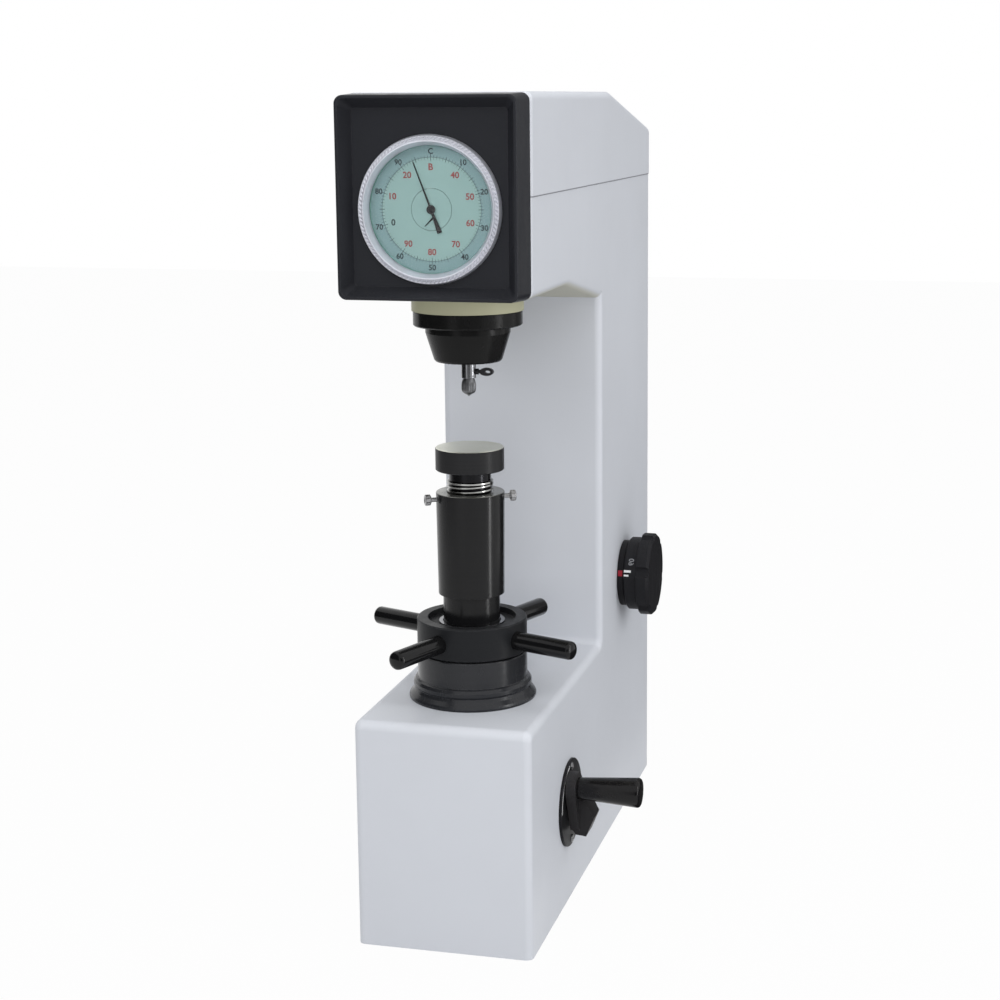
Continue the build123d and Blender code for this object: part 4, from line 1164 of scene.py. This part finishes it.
@dataclass
class Gauge:
    """Dial gauge: knurled bezel and every printed figure and division."""

    centre_z: float = 635.0
    floor_y: float = -257.9
    dial_y: float = -254.1
    teeth: int = 104
    knurl_depth: float = 1.15
    knurl_from: float = 55.9
    knurl_to: float = 58.9
    ring_radius: float = 41.6
    number_radius: float = 46.5
    inner_radius: float = 34.0
    ink: float = 0.04
    bezel_profile: tuple[tuple[float, float], ...] = (
        (60.1, 0.5), (60.1, 1.2), (59.5, 3.9), (59.15, 5.3), (58.9, 5.68), (58.2, 5.96), (57.4, 6.28),
        (56.6, 6.6), (55.9, 6.88), (55.5, 7.1), (54.9, 7.3), (54.3, 7.1), (53.6, 5.7), (52.4, 3.2),
        (51.4, 1.0), (51.3, 0.0), (52.7, 0.0), (52.7, -5.0), (54.4, -5.0), (54.4, 0.5),
    )

    def build(self, rack: Rack) -> None:
        """Make the bezel and the print.

        Args:
            rack: Store of materials.
        """
        self.build_bezel(rack)
        self.build_divisions(rack)
        self.build_outer_figures(rack)
        self.build_inner_figures(rack)
        self.build_counter(rack)

    def polar(self, radius: float, clock: float, lift: float = 0.0) -> Matrix:
        """Return the place of a mark on the dial.

        Args:
            radius: Distance from the dial's centre.
            clock: Angle from the top, clockwise, in degrees.
            lift: Distance in front of the dial.

        Returns:
            The place, with its drawing upright and facing the operator.
        """
        turn = radians(clock)
        spot = (radius * sin(turn), self.dial_y - 0.01 - lift, self.centre_z + radius * cos(turn))
        return Matrix.Translation(spot) @ Facing.FRONT.turn()

    def build_bezel(self, rack: Rack) -> None:
        """Turn the bezel and knurl its sloping shoulder.

        Args:
            rack: Store of materials.
        """
        blank = Blank("knurled_bezel")
        place = Matrix.Translation((0, self.floor_y, self.centre_z)) @ Facing.FRONT.turn()
        verts = blank.turned(self.bezel_profile, self.teeth * 4, Matrix.Identity(4), closed=True)
        for vert in verts:
            radius = hypot(vert.co.x, vert.co.y)
            if vert.co.z > 5.0 and self.knurl_from - 0.01 <= radius <= self.knurl_to - 0.3:
                share = (radius - self.knurl_from) / (self.knurl_to - self.knurl_from)
                depth = self.knurl_depth * groove(vert, self.teeth, 0.8 * share)
                vert.co.z -= depth * 0.93
                vert.co.xy *= (radius - depth * 0.37) / radius
        blank.move(verts, place)
        blank.finish(rack, BEZEL_CHROME, "bezel", "bezel_metal", 32.0, ("dial_bezel",))

    def build_divisions(self, rack: Rack) -> None:
        """Print the division ring with a hundred strokes each way.

        Args:
            rack: Store of materials.
        """
        blank = Blank("dial_divisions")
        place = Matrix.Translation((0, self.dial_y - 0.01, self.centre_z)) @ Facing.FRONT.turn()
        low, high = self.ring_radius - 0.14, self.ring_radius + 0.14
        blank.turned([(low, 0.0), (high, 0.0), (high, self.ink), (low, self.ink)], 200, place, closed=True)
        for index in range(100):
            reach = 2.6 if index % 10 == 0 else 2.1 if index % 5 == 0 else 1.5
            wide = 0.42 if index % 5 == 0 else 0.26
            turn = Matrix.Rotation(-radians(index * 3.6), 4, "Z")
            for start, stop in ((self.ring_radius, self.ring_radius + reach),
                                (self.ring_radius - reach - 0.3, self.ring_radius)):
                shift = Matrix.Translation((0, (start + stop) / 2, self.ink / 2))
                blank.slab((wide, stop - start, self.ink), place @ turn @ shift)
        blank.finish(rack, INK_BLACK, "bezel", "dial_print")

    def build_outer_figures(self, rack: Rack) -> None:
        """Print the black outer scale.

        Args:
            rack: Store of materials.
        """
        blank = Blank("dial_outer_figures")
        for index, text in enumerate(("C", "10", "20", "30", "40", "50", "60", "70", "80", "90")):
            blank.take(glyph(text, 4.7, 0.16), self.polar(self.number_radius, index * 36))
        blank.finish(rack, INK_BLACK, "bezel", "dial_print")

    def build_inner_figures(self, rack: Rack) -> None:
        """Print the red inner scale, with its black nought.

        Args:
            rack: Store of materials.
        """
        red, black = Blank("dial_inner_figures"), Blank("dial_inner_nought")
        for index, text in enumerate(("B", "40", "50", "60", "70", "80", "90", "0", "10", "20")):
            blank = black if text == "0" else red
            blank.take(glyph(text, 5.4, 0.2), self.polar(self.inner_radius, index * 36))
        red.finish(rack, INK_RED, "bezel", "dial_print")
        black.finish(rack, INK_BLACK, "bezel", "dial_print")

    def build_counter(self, rack: Rack) -> None:
        """Print the few strokes that the small pointer reads against.

        Args:
            rack: Store of materials.
        """
        blank = Blank("counter_divisions")
        hub = Matrix.Translation((0, self.dial_y - 0.01, self.centre_z - 8.0)) @ Facing.FRONT.turn()
        for index in range(5):
            turn = Matrix.Rotation(radians(118 + index * 14), 4, "Z")
            blank.slab((0.24, 1.7, self.ink), hub @ turn @ Matrix.Translation((0, 8.6, self.ink / 2)))
        blank.finish(rack, INK_GREY, "frame", "dial_print")


@dataclass
class SpindleNose:
    """Indenter with its knurled barrel and cone."""

    tip_z: float = 468.8
    seat_z: float = 485.0
    teeth: int = 26
    barrel: tuple[tuple[float, float], ...] = (
        (0.0, 0.0), (0.9, 0.7), (2.2, 1.6), (3.4, 2.2), (5.2, 3.3), (5.9, 4.4), (6.2, 5.6), (6.3, 6.4), (6.3, 8.0),
        (6.3, 9.6), (6.25, 11.0), (5.9, 12.4), (5.2, 14.6),
    )

    def build(self, rack: Rack) -> None:
        """Make the indenter.

        Args:
            rack: Store of materials.
        """
        blank = Blank("knurled_indenter")
        tip = self.tip_z
        profile = [(radius, tip + height) for radius, height in self.barrel]
        profile += [(4.6, self.seat_z), (3.2, self.seat_z), (3.2, self.seat_z + 14), (0.0, self.seat_z + 14)]
        place = Matrix.Translation((0, -156.0, 0))
        verts = blank.turned(profile, self.teeth * 4, Matrix.Identity(4))
        for vert in verts:
            radius = hypot(vert.co.x, vert.co.y)
            if radius > 5.8 and tip + 4.0 < vert.co.z < tip + 12.6:
                row = (vert.co.z - tip) / 1.6
                depth = 0.5 * groove(vert, self.teeth) * (0.55 + 0.45 * cos(pi * row))
                vert.co.xy *= (radius - max(0.0, depth)) / radius
        blank.move(verts, place)
        blank.finish(rack, KNURL_STEEL, "spindle_group", "black_steel", 30.0, ("indenter",))


@dataclass
class ElevatingGroup:
    """Elevating screw with its thread, and the sleeve's clamp screws."""

    axis_y: float = -156.0
    crest: float = 20.45
    root: float = 18.2
    pitch: float = 4.0
    turn_steps: int = 30
    bottom: float = 60.0
    thread_from: float = 214.0
    thread_to: float = 395.6
    top: float = 404.4
    clamp_z: float = 379.0
    clamp_turn: float = 28.0
    clamp_teeth: int = 26

    def build(self, rack: Rack) -> None:
        """Make the screw and the clamp screws.

        Args:
            rack: Store of materials.
        """
        self.build_screw(rack)
        for name, turn, body in (("right", 0.0, "right_sleeve_screw"), ("left", 180.0, "left_sleeve_screw")):
            self.build_clamp(rack, name, turn, body)

    def build_screw(self, rack: Rack) -> None:
        """Cut the thread as one helix, with a plain keyed shank below and a neck above.

        Args:
            rack: Store of materials.
        """
        blank = Blank("threaded_screw")
        bm = blank.bm
        turns = int((self.thread_to - self.thread_from) / self.pitch)
        start = self.thread_from
        flat = self.pitch * 0.16
        profile = [(self.root, 0.0), (self.crest, self.pitch * 0.5 - flat), (self.crest, self.pitch * 0.5 + flat),
                   (self.root, self.pitch - flat), (self.root, self.pitch)]
        line = [bm.verts.new((radius, 0.0, start + height)) for radius, height in profile]
        edges = [bm.edges.new(pair) for pair in zip(line, line[1:])]
        bmesh.ops.spin(bm, geom=line + edges, cent=(0, 0, 0), axis=(0, 0, 1),
                       dvec=(0, 0, self.pitch / self.turn_steps), angle=TURN * turns,
                       steps=self.turn_steps * turns, use_merge=False, use_duplicate=False)
        bmesh.ops.remove_doubles(bm, verts=bm.verts[:], dist=1e-3)
        for height, inward in ((start + self.pitch, -1.0), (start + turns * self.pitch, 1.0)):
            bmesh.ops.bisect_plane(bm, geom=bm.verts[:] + bm.edges[:] + bm.faces[:], plane_co=(0, 0, height),
                                   plane_no=(0, 0, inward), clear_outer=True, dist=1e-4)
        self._add_shank(blank)
        neck = [(self.root - 1.2, start + turns * self.pitch), (20.3, start + turns * self.pitch - 0.6),
                (20.3, start + turns * self.pitch + 0.9), (18.4, start + turns * self.pitch + 1.6),
                (18.4, self.top), (8.0, self.top), (8.0, self.top - 30.0), (0.0, self.top - 30.0)]
        blank.turned(neck, 60, Matrix.Identity(4))
        blank.move(bm.verts[:], Matrix.Translation((0, self.axis_y, 0)))
        blank.finish(rack, THREAD_BRIGHT, "screw", "bright_steel", 30.0, ("elevating_screw",))

    def _add_shank(self, blank: Blank) -> None:
        """Add the plain lower shank with its keyway behind.

        Args:
            blank: The screw's mesh.
        """
        bm = blank.bm
        base = bmesh.ops.create_circle(bm, cap_ends=True, segments=64, radius=self.crest)["verts"]
        for vert in base:
            if abs(vert.co.x) < 3.2 and vert.co.y > 0:
                vert.co.y = 17.5
        bmesh.ops.translate(bm, vec=(0, 0, self.bottom), verts=base)
        face = base[0].link_faces[0]
        grown = bmesh.ops.extrude_face_region(bm, geom=[face], use_keep_orig=True)["geom"]
        height = self.thread_from + self.pitch - self.bottom + 0.2
        bmesh.ops.translate(bm, vec=(0, 0, height), verts=only_verts(grown))

    def build_clamp(self, rack: Rack, name: str, turn: float, body: str) -> None:
        """Make one knurled clamp screw.

        Args:
            rack: Store of materials.
            name: Side that it is on.
            turn: Turn about the screw's axis, in degrees.
            body: Body that it rides on.
        """
        blank = Blank(f"knurled_clamp_screw_{name}")
        profile = [(0.0, 20.9), (2.0, 20.9), (2.0, 35.0), (3.3, 35.0), (3.3, 35.5), (4.3, 35.5), (4.78, 35.95),
                   (4.78, 37.3), (4.78, 38.6), (4.78, 39.95), (4.3, 40.4), (3.0, 40.5), (2.6, 40.1), (0.0, 40.0)]
        verts = blank.turned(profile, self.clamp_teeth * 4, Matrix.Identity(4))
        for vert in verts:
            radius = hypot(vert.co.x, vert.co.y)
            if radius > 4.5:
                vert.co.xy *= 1.0 - 0.05 * groove(vert, self.clamp_teeth)
        place = (Matrix.Translation((0, self.axis_y, self.clamp_z))
                 @ Matrix.Rotation(radians(self.clamp_turn + turn), 4, "Z") @ Matrix.Rotation(pi / 2, 4, "Y"))
        blank.move(verts, place)
        blank.finish(rack, SCREW_BRIGHT, body, "bright_steel", 30.0, (f"sleeve_screw_{name}",))


@dataclass
class Handwheel:
    """Four gloss bars with crowned ends."""

    axis_y: float = -156.0
    bar_z: float = 257.4
    bar_radius: float = 8.1
    bar_from: float = 33.2
    bar_reach: float = 108.5
    first_turn: float = -20.7
    bars: int = 4
    crown: tuple[tuple[float, float], ...] = (
        (0.0, 0.0), (2.2, 0.1), (4.2, 0.4), (5.9, 0.95), (7.0, 1.6), (7.7, 2.5), (8.1, 4.2),
    )

    def build(self, rack: Rack) -> None:
        """Turn the bars.

        Args:
            rack: Store of materials.
        """
        blank = Blank("crowned_bars")
        profile = [(radius, self.bar_reach - back) for radius, back in self.crown]
        profile += [(self.bar_radius, self.bar_from), (0.0, self.bar_from)]
        for index in range(self.bars):
            turn = radians(self.first_turn + index * 360 / self.bars)
            place = (Matrix.Translation((0, self.axis_y, self.bar_z)) @ Matrix.Rotation(turn, 4, "Z")
                     @ Matrix.Rotation(pi / 2, 4, "Y"))
            blank.turned(profile, 48, place)
        blank.finish(rack, BAR_BLACK, "handwheel", "gloss_black", 40.0, ("handwheel_bars",))


@dataclass
class LoadSelector:
    """Markings of the load knob and its fixed ring."""

    axis_y: float = 124.0
    axis_z: float = 248.0
    ring_radius: float = 33.0
    drum_radius: float = 36.5
    loads: tuple[str, ...] = ("60", "100", "150")
    read_turn: float = 164.0

    def build(self, rack: Rack) -> None:
        """Make the red index and the white load marks.

        Args:
            rack: Store of materials.
        """
        index = Blank("load_index_mark")
        self.band(index, self.ring_radius + 0.02, 79.0, 83.4, self.read_turn - 1.0, self.read_turn + 9.0)
        index.finish(rack, MARK_RED, "frame", "black_plastic")
        marks = Blank("load_marks")
        figures = Blank("load_figures")
        for step, text in enumerate(self.loads):
            turn = self.read_turn + step * 120.0
            self.band(marks, self.drum_radius + 0.02, 85.6, 92.6, turn - 1.6, turn + 2.0)
            self.band(marks, self.drum_radius + 0.02, 85.6, 90.4, turn + 5.4, turn + 8.2)
            figures.take(self.wrapped(text, turn - 15.0), Matrix.Identity(4))
        marks.finish(rack, INK_WHITE, "selector", "gloss_black")
        figures.finish(rack, INK_SILVER, "selector", "gloss_black")

    def spot(self, radius: float, turn: float, x: float) -> Vector:
        """Return a point on a cylinder round the knob's axis.

        Args:
            radius: Distance from the axis.
            turn: Angle from the rear, over the top, in degrees.
            x: Place along the axis.

        Returns:
            The point.
        """
        angle = radians(turn)
        return Vector((x, self.axis_y + radius * cos(angle), self.axis_z + radius * sin(angle)))

    def band(self, blank: Blank, radius: float, near: float, far: float, start: float, stop: float) -> None:
        """Add a thin printed band on a cylinder round the knob's axis.

        Args:
            blank: Mesh to add to.
            radius: The band's inner radius.
            near: Its start along X.
            far: Its end along X.
            start: Its first angle in degrees.
            stop: Its last angle in degrees.
        """
        bm = blank.bm
        corners = [(near, radius), (far, radius), (far, radius + 0.05), (near, radius + 0.05)]
        ring = [bm.verts.new(self.spot(level, start, x)) for x, level in corners]
        face = bm.faces.new(ring)
        bmesh.ops.spin(bm, geom=[face, *face.edges, *face.verts], cent=(0, self.axis_y, self.axis_z),
                       axis=(1, 0, 0), angle=radians(stop - start), steps=6, use_merge=False,
                       use_duplicate=False)

    def wrapped(self, text: str, turn: float) -> bpy.types.Mesh:
        """Draw figures and wrap them on the drum.

        Args:
            text: Figures to draw.
            turn: Angle of their middle, in degrees.

        Returns:
            The wrapped mesh, in the frame.
        """
        mesh = glyph(text, 5.6, 0.15)
        bm = bmesh.new()
        bm.from_mesh(mesh)
        bmesh.ops.triangulate(bm, faces=[face for face in bm.faces if len(face.verts) > 4])
        for vert in bm.verts:
            angle = turn - degrees(vert.co.x / self.drum_radius)
            vert.co = self.spot(self.drum_radius + 0.03 + vert.co.z, angle, 92.4 + vert.co.y)
        bm.to_mesh(mesh)
        bm.free()
        return mesh


@dataclass
class LoadHandle:
    """Plate of the loading handle: its arrow and screws."""

    axis_y: float = -117.0
    axis_z: float = 92.0
    face_x: float = 80.6
    arc_radius: float = 36.9
    arc_stroke: float = 1.5
    arc_ends: tuple[float, float] = (103.0, 176.0)
    screw_reach: float = 34.5
    grip_y: float = -133.0
    grip_z: float = 112.0
    grip_profile: tuple[tuple[float, float], ...] = (
        (0.0, 90.5), (9.6, 90.5), (13.3, 144.6), (13.15, 146.0), (12.4, 147.2), (11.0, 147.9), (8.0, 148.25),
        (4.0, 148.45), (0.0, 148.5),
    )

    def build(self, rack: Rack) -> None:
        """Make the double arrow, the two screws and the grip.

        Args:
            rack: Store of materials.
        """
        arrow = Blank("swing_arrow")
        place = Matrix.Translation((self.face_x + 0.01, self.axis_y, self.axis_z)) @ Facing.RIGHT.turn()
        bm = arrow.bm
        low, high = self.arc_radius - self.arc_stroke / 2, self.arc_radius + self.arc_stroke / 2
        corners = [(low, 0.0), (high, 0.0), (high, 0.05), (low, 0.05)]
        start, stop = (radians(end) for end in self.arc_ends)
        turn = Matrix.Rotation(start, 3, "Z")
        face = bm.faces.new([bm.verts.new(turn @ Vector((radius, 0.0, lift))) for radius, lift in corners])
        bmesh.ops.spin(bm, geom=[face, *face.edges, *face.verts], cent=(0, 0, 0), axis=(0, 0, 1),
                       angle=stop - start, steps=24, use_merge=False, use_duplicate=False)
        for angle, lean in ((start, -pi), (stop, 0.0)):
            head = bmesh.ops.create_cone(bm, cap_ends=True, segments=3, radius1=2.2, radius2=2.2,
                                         depth=0.05)["verts"]
            spin = Matrix.Rotation(angle + lean, 4, "Z")
            spot = Matrix.Translation((self.arc_radius * cos(angle), self.arc_radius * sin(angle), 0.025))
            arrow.move(head, spot @ spin)
        arrow.move(bm.verts[:], place)
        arrow.finish(rack, INK_WHITE, "frame", "black_steel")
        grip = Blank("crowned_grip")
        along = Matrix.Translation((0, self.grip_y, self.grip_z)) @ Matrix.Rotation(pi / 2, 4, "Y")
        grip.turned(self.grip_profile, 64, along)
        grip.finish(rack, GRIP_BLACK, "load_handle", "gloss_black", 40.0, ("crank_grip",))
        screws = Blank("plate_screws")
        for side in (-1, 1):
            spot = Matrix.Translation((self.face_x, self.axis_y, self.axis_z + side * self.screw_reach))
            spin = Matrix.Rotation(radians(25 + 40 * side), 4, "Z")
            screws.take(screw_head(3.6, 1.0, 2.0, 2.6), spot @ Facing.RIGHT.turn() @ spin)
        screws.finish(rack, SCREW_BRIGHT, "frame", "black_steel", 40.0, ("crank_plate_screws",))


# ---- Studio --------------------------------------------------------------------------------------
@dataclass
class Studio:
    """Floor, world, lamps and camera."""

    place: Point = (0.468758, -1.736754, 0.722362)
    azimuth: float = 14.025
    elevation: float = 10.015
    roll: float = -0.371
    focal: float = 1.92425
    centre_px: tuple[float, float] = (552.0, 438.0)
    image: float = 1000.0
    ambient: float = 0.6
    floor_white: float = 0.97
    pure_white: Rgb = (255, 255, 255)
    lamps: tuple[tuple[str, Point, Point, tuple[float, float], float, Lit], ...] = (
        ("front_low", (0.62, -2.6, 0.7), (0.0, -0.1, 0.4), (1.4, 1.0), 13.0, Lit.COLOUR),
        ("front_high", (0.7, -2.2, 2.3), (0.0, -0.1, 0.4), (1.2, 1.2), 10.0, Lit.COLOUR),
        ("key_left", (-1.0, -2.1, 1.9), (0.0, -0.1, 0.45), (1.1, 1.1), 9.0, Lit.COLOUR),
        ("side_right", (2.0, -0.3, 0.95), (0.0, -0.1, 0.5), (0.3, 1.6), 12.0, Lit.COLOUR),
        ("top", (0.0, -0.1, 3.2), (0.0, 0.0, 0.4), (1.5, 1.5), 26.0, Lit.COLOUR),
        ("strip_right", (0.895, -0.25, 0.48), (0.0, -0.156, 0.48), (0.07, 0.92), 2.6, Lit.GLOSS),
    )
    flags: tuple[tuple[str, Point, Point, tuple[float, float], int], ...] = (
        ("flag_left", (-1.5, -0.8, 0.7), (0.0, -0.1, 0.5), (3.0, 1.6), 40),
        ("flag_front", (0.9, -2.7, 0.6), (0.0, -0.1, 0.5), (2.6, 1.5), 40),
        ("flag_rear_high", (0.42, 1.1, 0.95), (0.1, 0.0, 0.95), (1.5, 1.3), 140),
        ("flag_rear_low", (0.42, 1.1, 0.15), (0.1, 0.0, 0.15), (1.5, 0.3), 40),
        ("flag_floor", (0.55, 0.5, 0.003), (0.55, 0.5, 1.0), (0.85, 1.3), 60),
    )

    def build(self) -> None:
        """Make the whole studio."""
        self.build_world()
        self.build_floor()
        self.build_lamps()
        self.build_flags()
        self.build_camera()
        bpy.context.scene.view_settings.view_transform = "Standard"

    @staticmethod
    def emptied(owner: bpy.types.ID) -> Wiring:
        """Return the emptied shader tree of a material or world."""
        owner.use_nodes = True
        owner.node_tree.nodes.clear()
        return Wiring(owner.node_tree)

    @staticmethod
    def sheet(name: str, size: tuple[float, float], parts: int, material: bpy.types.Material) -> bpy.types.Object:
        """Make a flat sheet in XY that belongs to the studio only.

        Args:
            name: The sheet's name.
            size: Its width and length in metres.
            parts: Number of squares along each side.
            material: Its material.

        Returns:
            The sheet.
        """
        bm = bmesh.new()
        bmesh.ops.create_grid(bm, x_segments=parts, y_segments=parts, size=0.5)
        bmesh.ops.scale(bm, vec=(*size, 1.0), verts=bm.verts)
        mesh = bpy.data.meshes.new(name)
        bm.to_mesh(mesh)
        bm.free()
        mesh.materials.append(material)
        item = bpy.data.objects.new(name, mesh)
        bpy.context.scene.collection.objects.link(item)
        return item

    @staticmethod
    def tinted(wiring: Wiring, kind: str, colour: Rgb, **values: float) -> Socket:
        """Add a plain shader of one colour.

        Args:
            wiring: The tree's wiring.
            kind: Blender's type name of the shader.
            colour: Its colour.
            **values: Its other inputs.

        Returns:
            The shader's socket.
        """
        node = wiring.add(kind)
        node.inputs["Color"].default_value = linear(colour)
        for name, value in values.items():
            node.inputs[name].default_value = value
        return node.outputs[0]

    @staticmethod
    def seen(wiring: Wiring) -> bpy.types.NodeSocket:
        """Return a mask that is 1 for rays that show the background.

        Args:
            wiring: The tree's wiring.

        Returns:
            The mask's socket.
        """
        rays = wiring.add("ShaderNodeLightPath")
        both = wiring.math("ADD", rays.outputs["Is Camera Ray"], rays.outputs["Is Glossy Ray"], clamp=True)
        return wiring.math("ADD", both, rays.outputs["Is Transmission Ray"], clamp=True)

    def build_world(self) -> None:
        """Make a white backdrop with a plain soft ambient light."""
        world = bpy.data.worlds.new("white_backdrop")
        wiring = self.emptied(world)
        light = self.tinted(wiring, "ShaderNodeBackground", (252, 253, 255), Strength=self.ambient)
        white = self.tinted(wiring, "ShaderNodeBackground", self.pure_white, Strength=1.0)
        wiring.blend(self.seen(wiring), light, white, wiring.add("ShaderNodeOutputWorld"))
        bpy.context.scene.world = world

    def build_floor(self) -> None:
        """Lay a pale floor that keeps a soft shadow."""
        material = bpy.data.materials.new("floor_pale")
        wiring = self.emptied(material)
        paint = self.tinted(wiring, "ShaderNodeBsdfDiffuse", (190, 190, 191))
        white = self.tinted(wiring, "ShaderNodeEmission", self.pure_white, Strength=1.0)
        share = wiring.math("MULTIPLY", self.seen(wiring), self.floor_white)
        wiring.blend(share, paint, white, wiring.add("ShaderNodeOutputMaterial"))
        floor = self.sheet("studio_floor", (12.0, 12.0), 8, material)
        floor.location = (0.0, 0.0, -0.0002)

    def build_lamps(self) -> None:
        """Hang the soft lamps."""
        for name, spot, aim, size, power, lit in self.lamps:
            data = bpy.data.lights.new(name, "AREA")
            data.shape = "RECTANGLE"
            data.size, data.size_y = size
            data.energy = power
            lamp = bpy.data.objects.new(name, data)
            lamp.location = spot
            lamp.visible_camera = False
            lamp.visible_glossy = lit is Lit.GLOSS
            lamp.visible_diffuse = lit is Lit.COLOUR
            lamp.rotation_euler = (Vector(aim) - Vector(spot)).to_track_quat("-Z", "Y").to_euler()
            bpy.context.scene.collection.objects.link(lamp)

    def build_flags(self) -> None:
        """Stand dark cards beside the camera, seen only in polished metal and gloss black."""
        for name, spot, aim, size, tone in self.flags:
            material = bpy.data.materials.new(f"{name}_felt")
            wiring = self.emptied(material)
            felt = self.tinted(wiring, "ShaderNodeBsdfDiffuse", (tone, tone, tone))
            wiring.feed(wiring.add("ShaderNodeOutputMaterial").inputs["Surface"], felt)
            card = self.sheet(name, size, 1, material)
            card.location = spot
            card.rotation_euler = (Vector(aim) - Vector(spot)).to_track_quat("Z", "Y").to_euler()
            card.visible_camera = False
            card.visible_diffuse = False
            card.visible_transmission = False
            card.visible_shadow = False

    def build_camera(self) -> None:
        """Set the camera at its viewing angle."""
        azimuth, elevation, roll = radians(self.azimuth), radians(self.elevation), radians(self.roll)
        back = Vector((sin(azimuth) * cos(elevation), -cos(azimuth) * cos(elevation), sin(elevation)))
        right = Vector((0, 0, 1)).cross(back).normalized()
        up = back.cross(right)
        turned_right = right * cos(roll) + up * sin(roll)
        turned_up = up * cos(roll) - right * sin(roll)
        data = bpy.data.cameras.new("tester_view")
        data.sensor_width = 36.0
        data.sensor_fit = "HORIZONTAL"
        data.lens = self.focal * 36.0
        half = self.image / 2
        data.shift_x = (half - self.centre_px[0]) / self.image
        data.shift_y = (self.centre_px[1] - half) / self.image
        data.clip_start = 0.05
        data.clip_end = 50.0
        camera = bpy.data.objects.new("tester_view", data)
        turn = Matrix((turned_right, turned_up, back)).transposed().to_4x4()
        camera.matrix_world = Matrix.Translation(self.place) @ turn
        bpy.context.scene.collection.objects.link(camera)
        bpy.context.scene.camera = camera


# ---- Whole tester --------------------------------------------------------------------------------
def dress_nodes(rack: Rack) -> None:
    """Give every CAD node its finish.

    Args:
        rack: Store of materials.
    """
    for name, finish in NODE_FINISHES.items():
        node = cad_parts[name]
        material = rack.get(finish)
        if not node.material_slots:
            node.data.materials.append(material)
        for slot in node.material_slots:
            slot.material = material


def main() -> None:
    """Build and dress the tester in order, then the studio round it."""
    logging.basicConfig(level=logging.INFO, format="%(name)s %(message)s")
    rack = Rack()
    dress_nodes(rack)
    for part in (Casting(), Gauge(), SpindleNose(), ElevatingGroup(), Handwheel(), LoadSelector(), LoadHandle()):
        part.build(rack)
        LOG.info("%s is dressed", type(part).__name__)
    Studio().build()


if __name__ == "__main__":
    main()
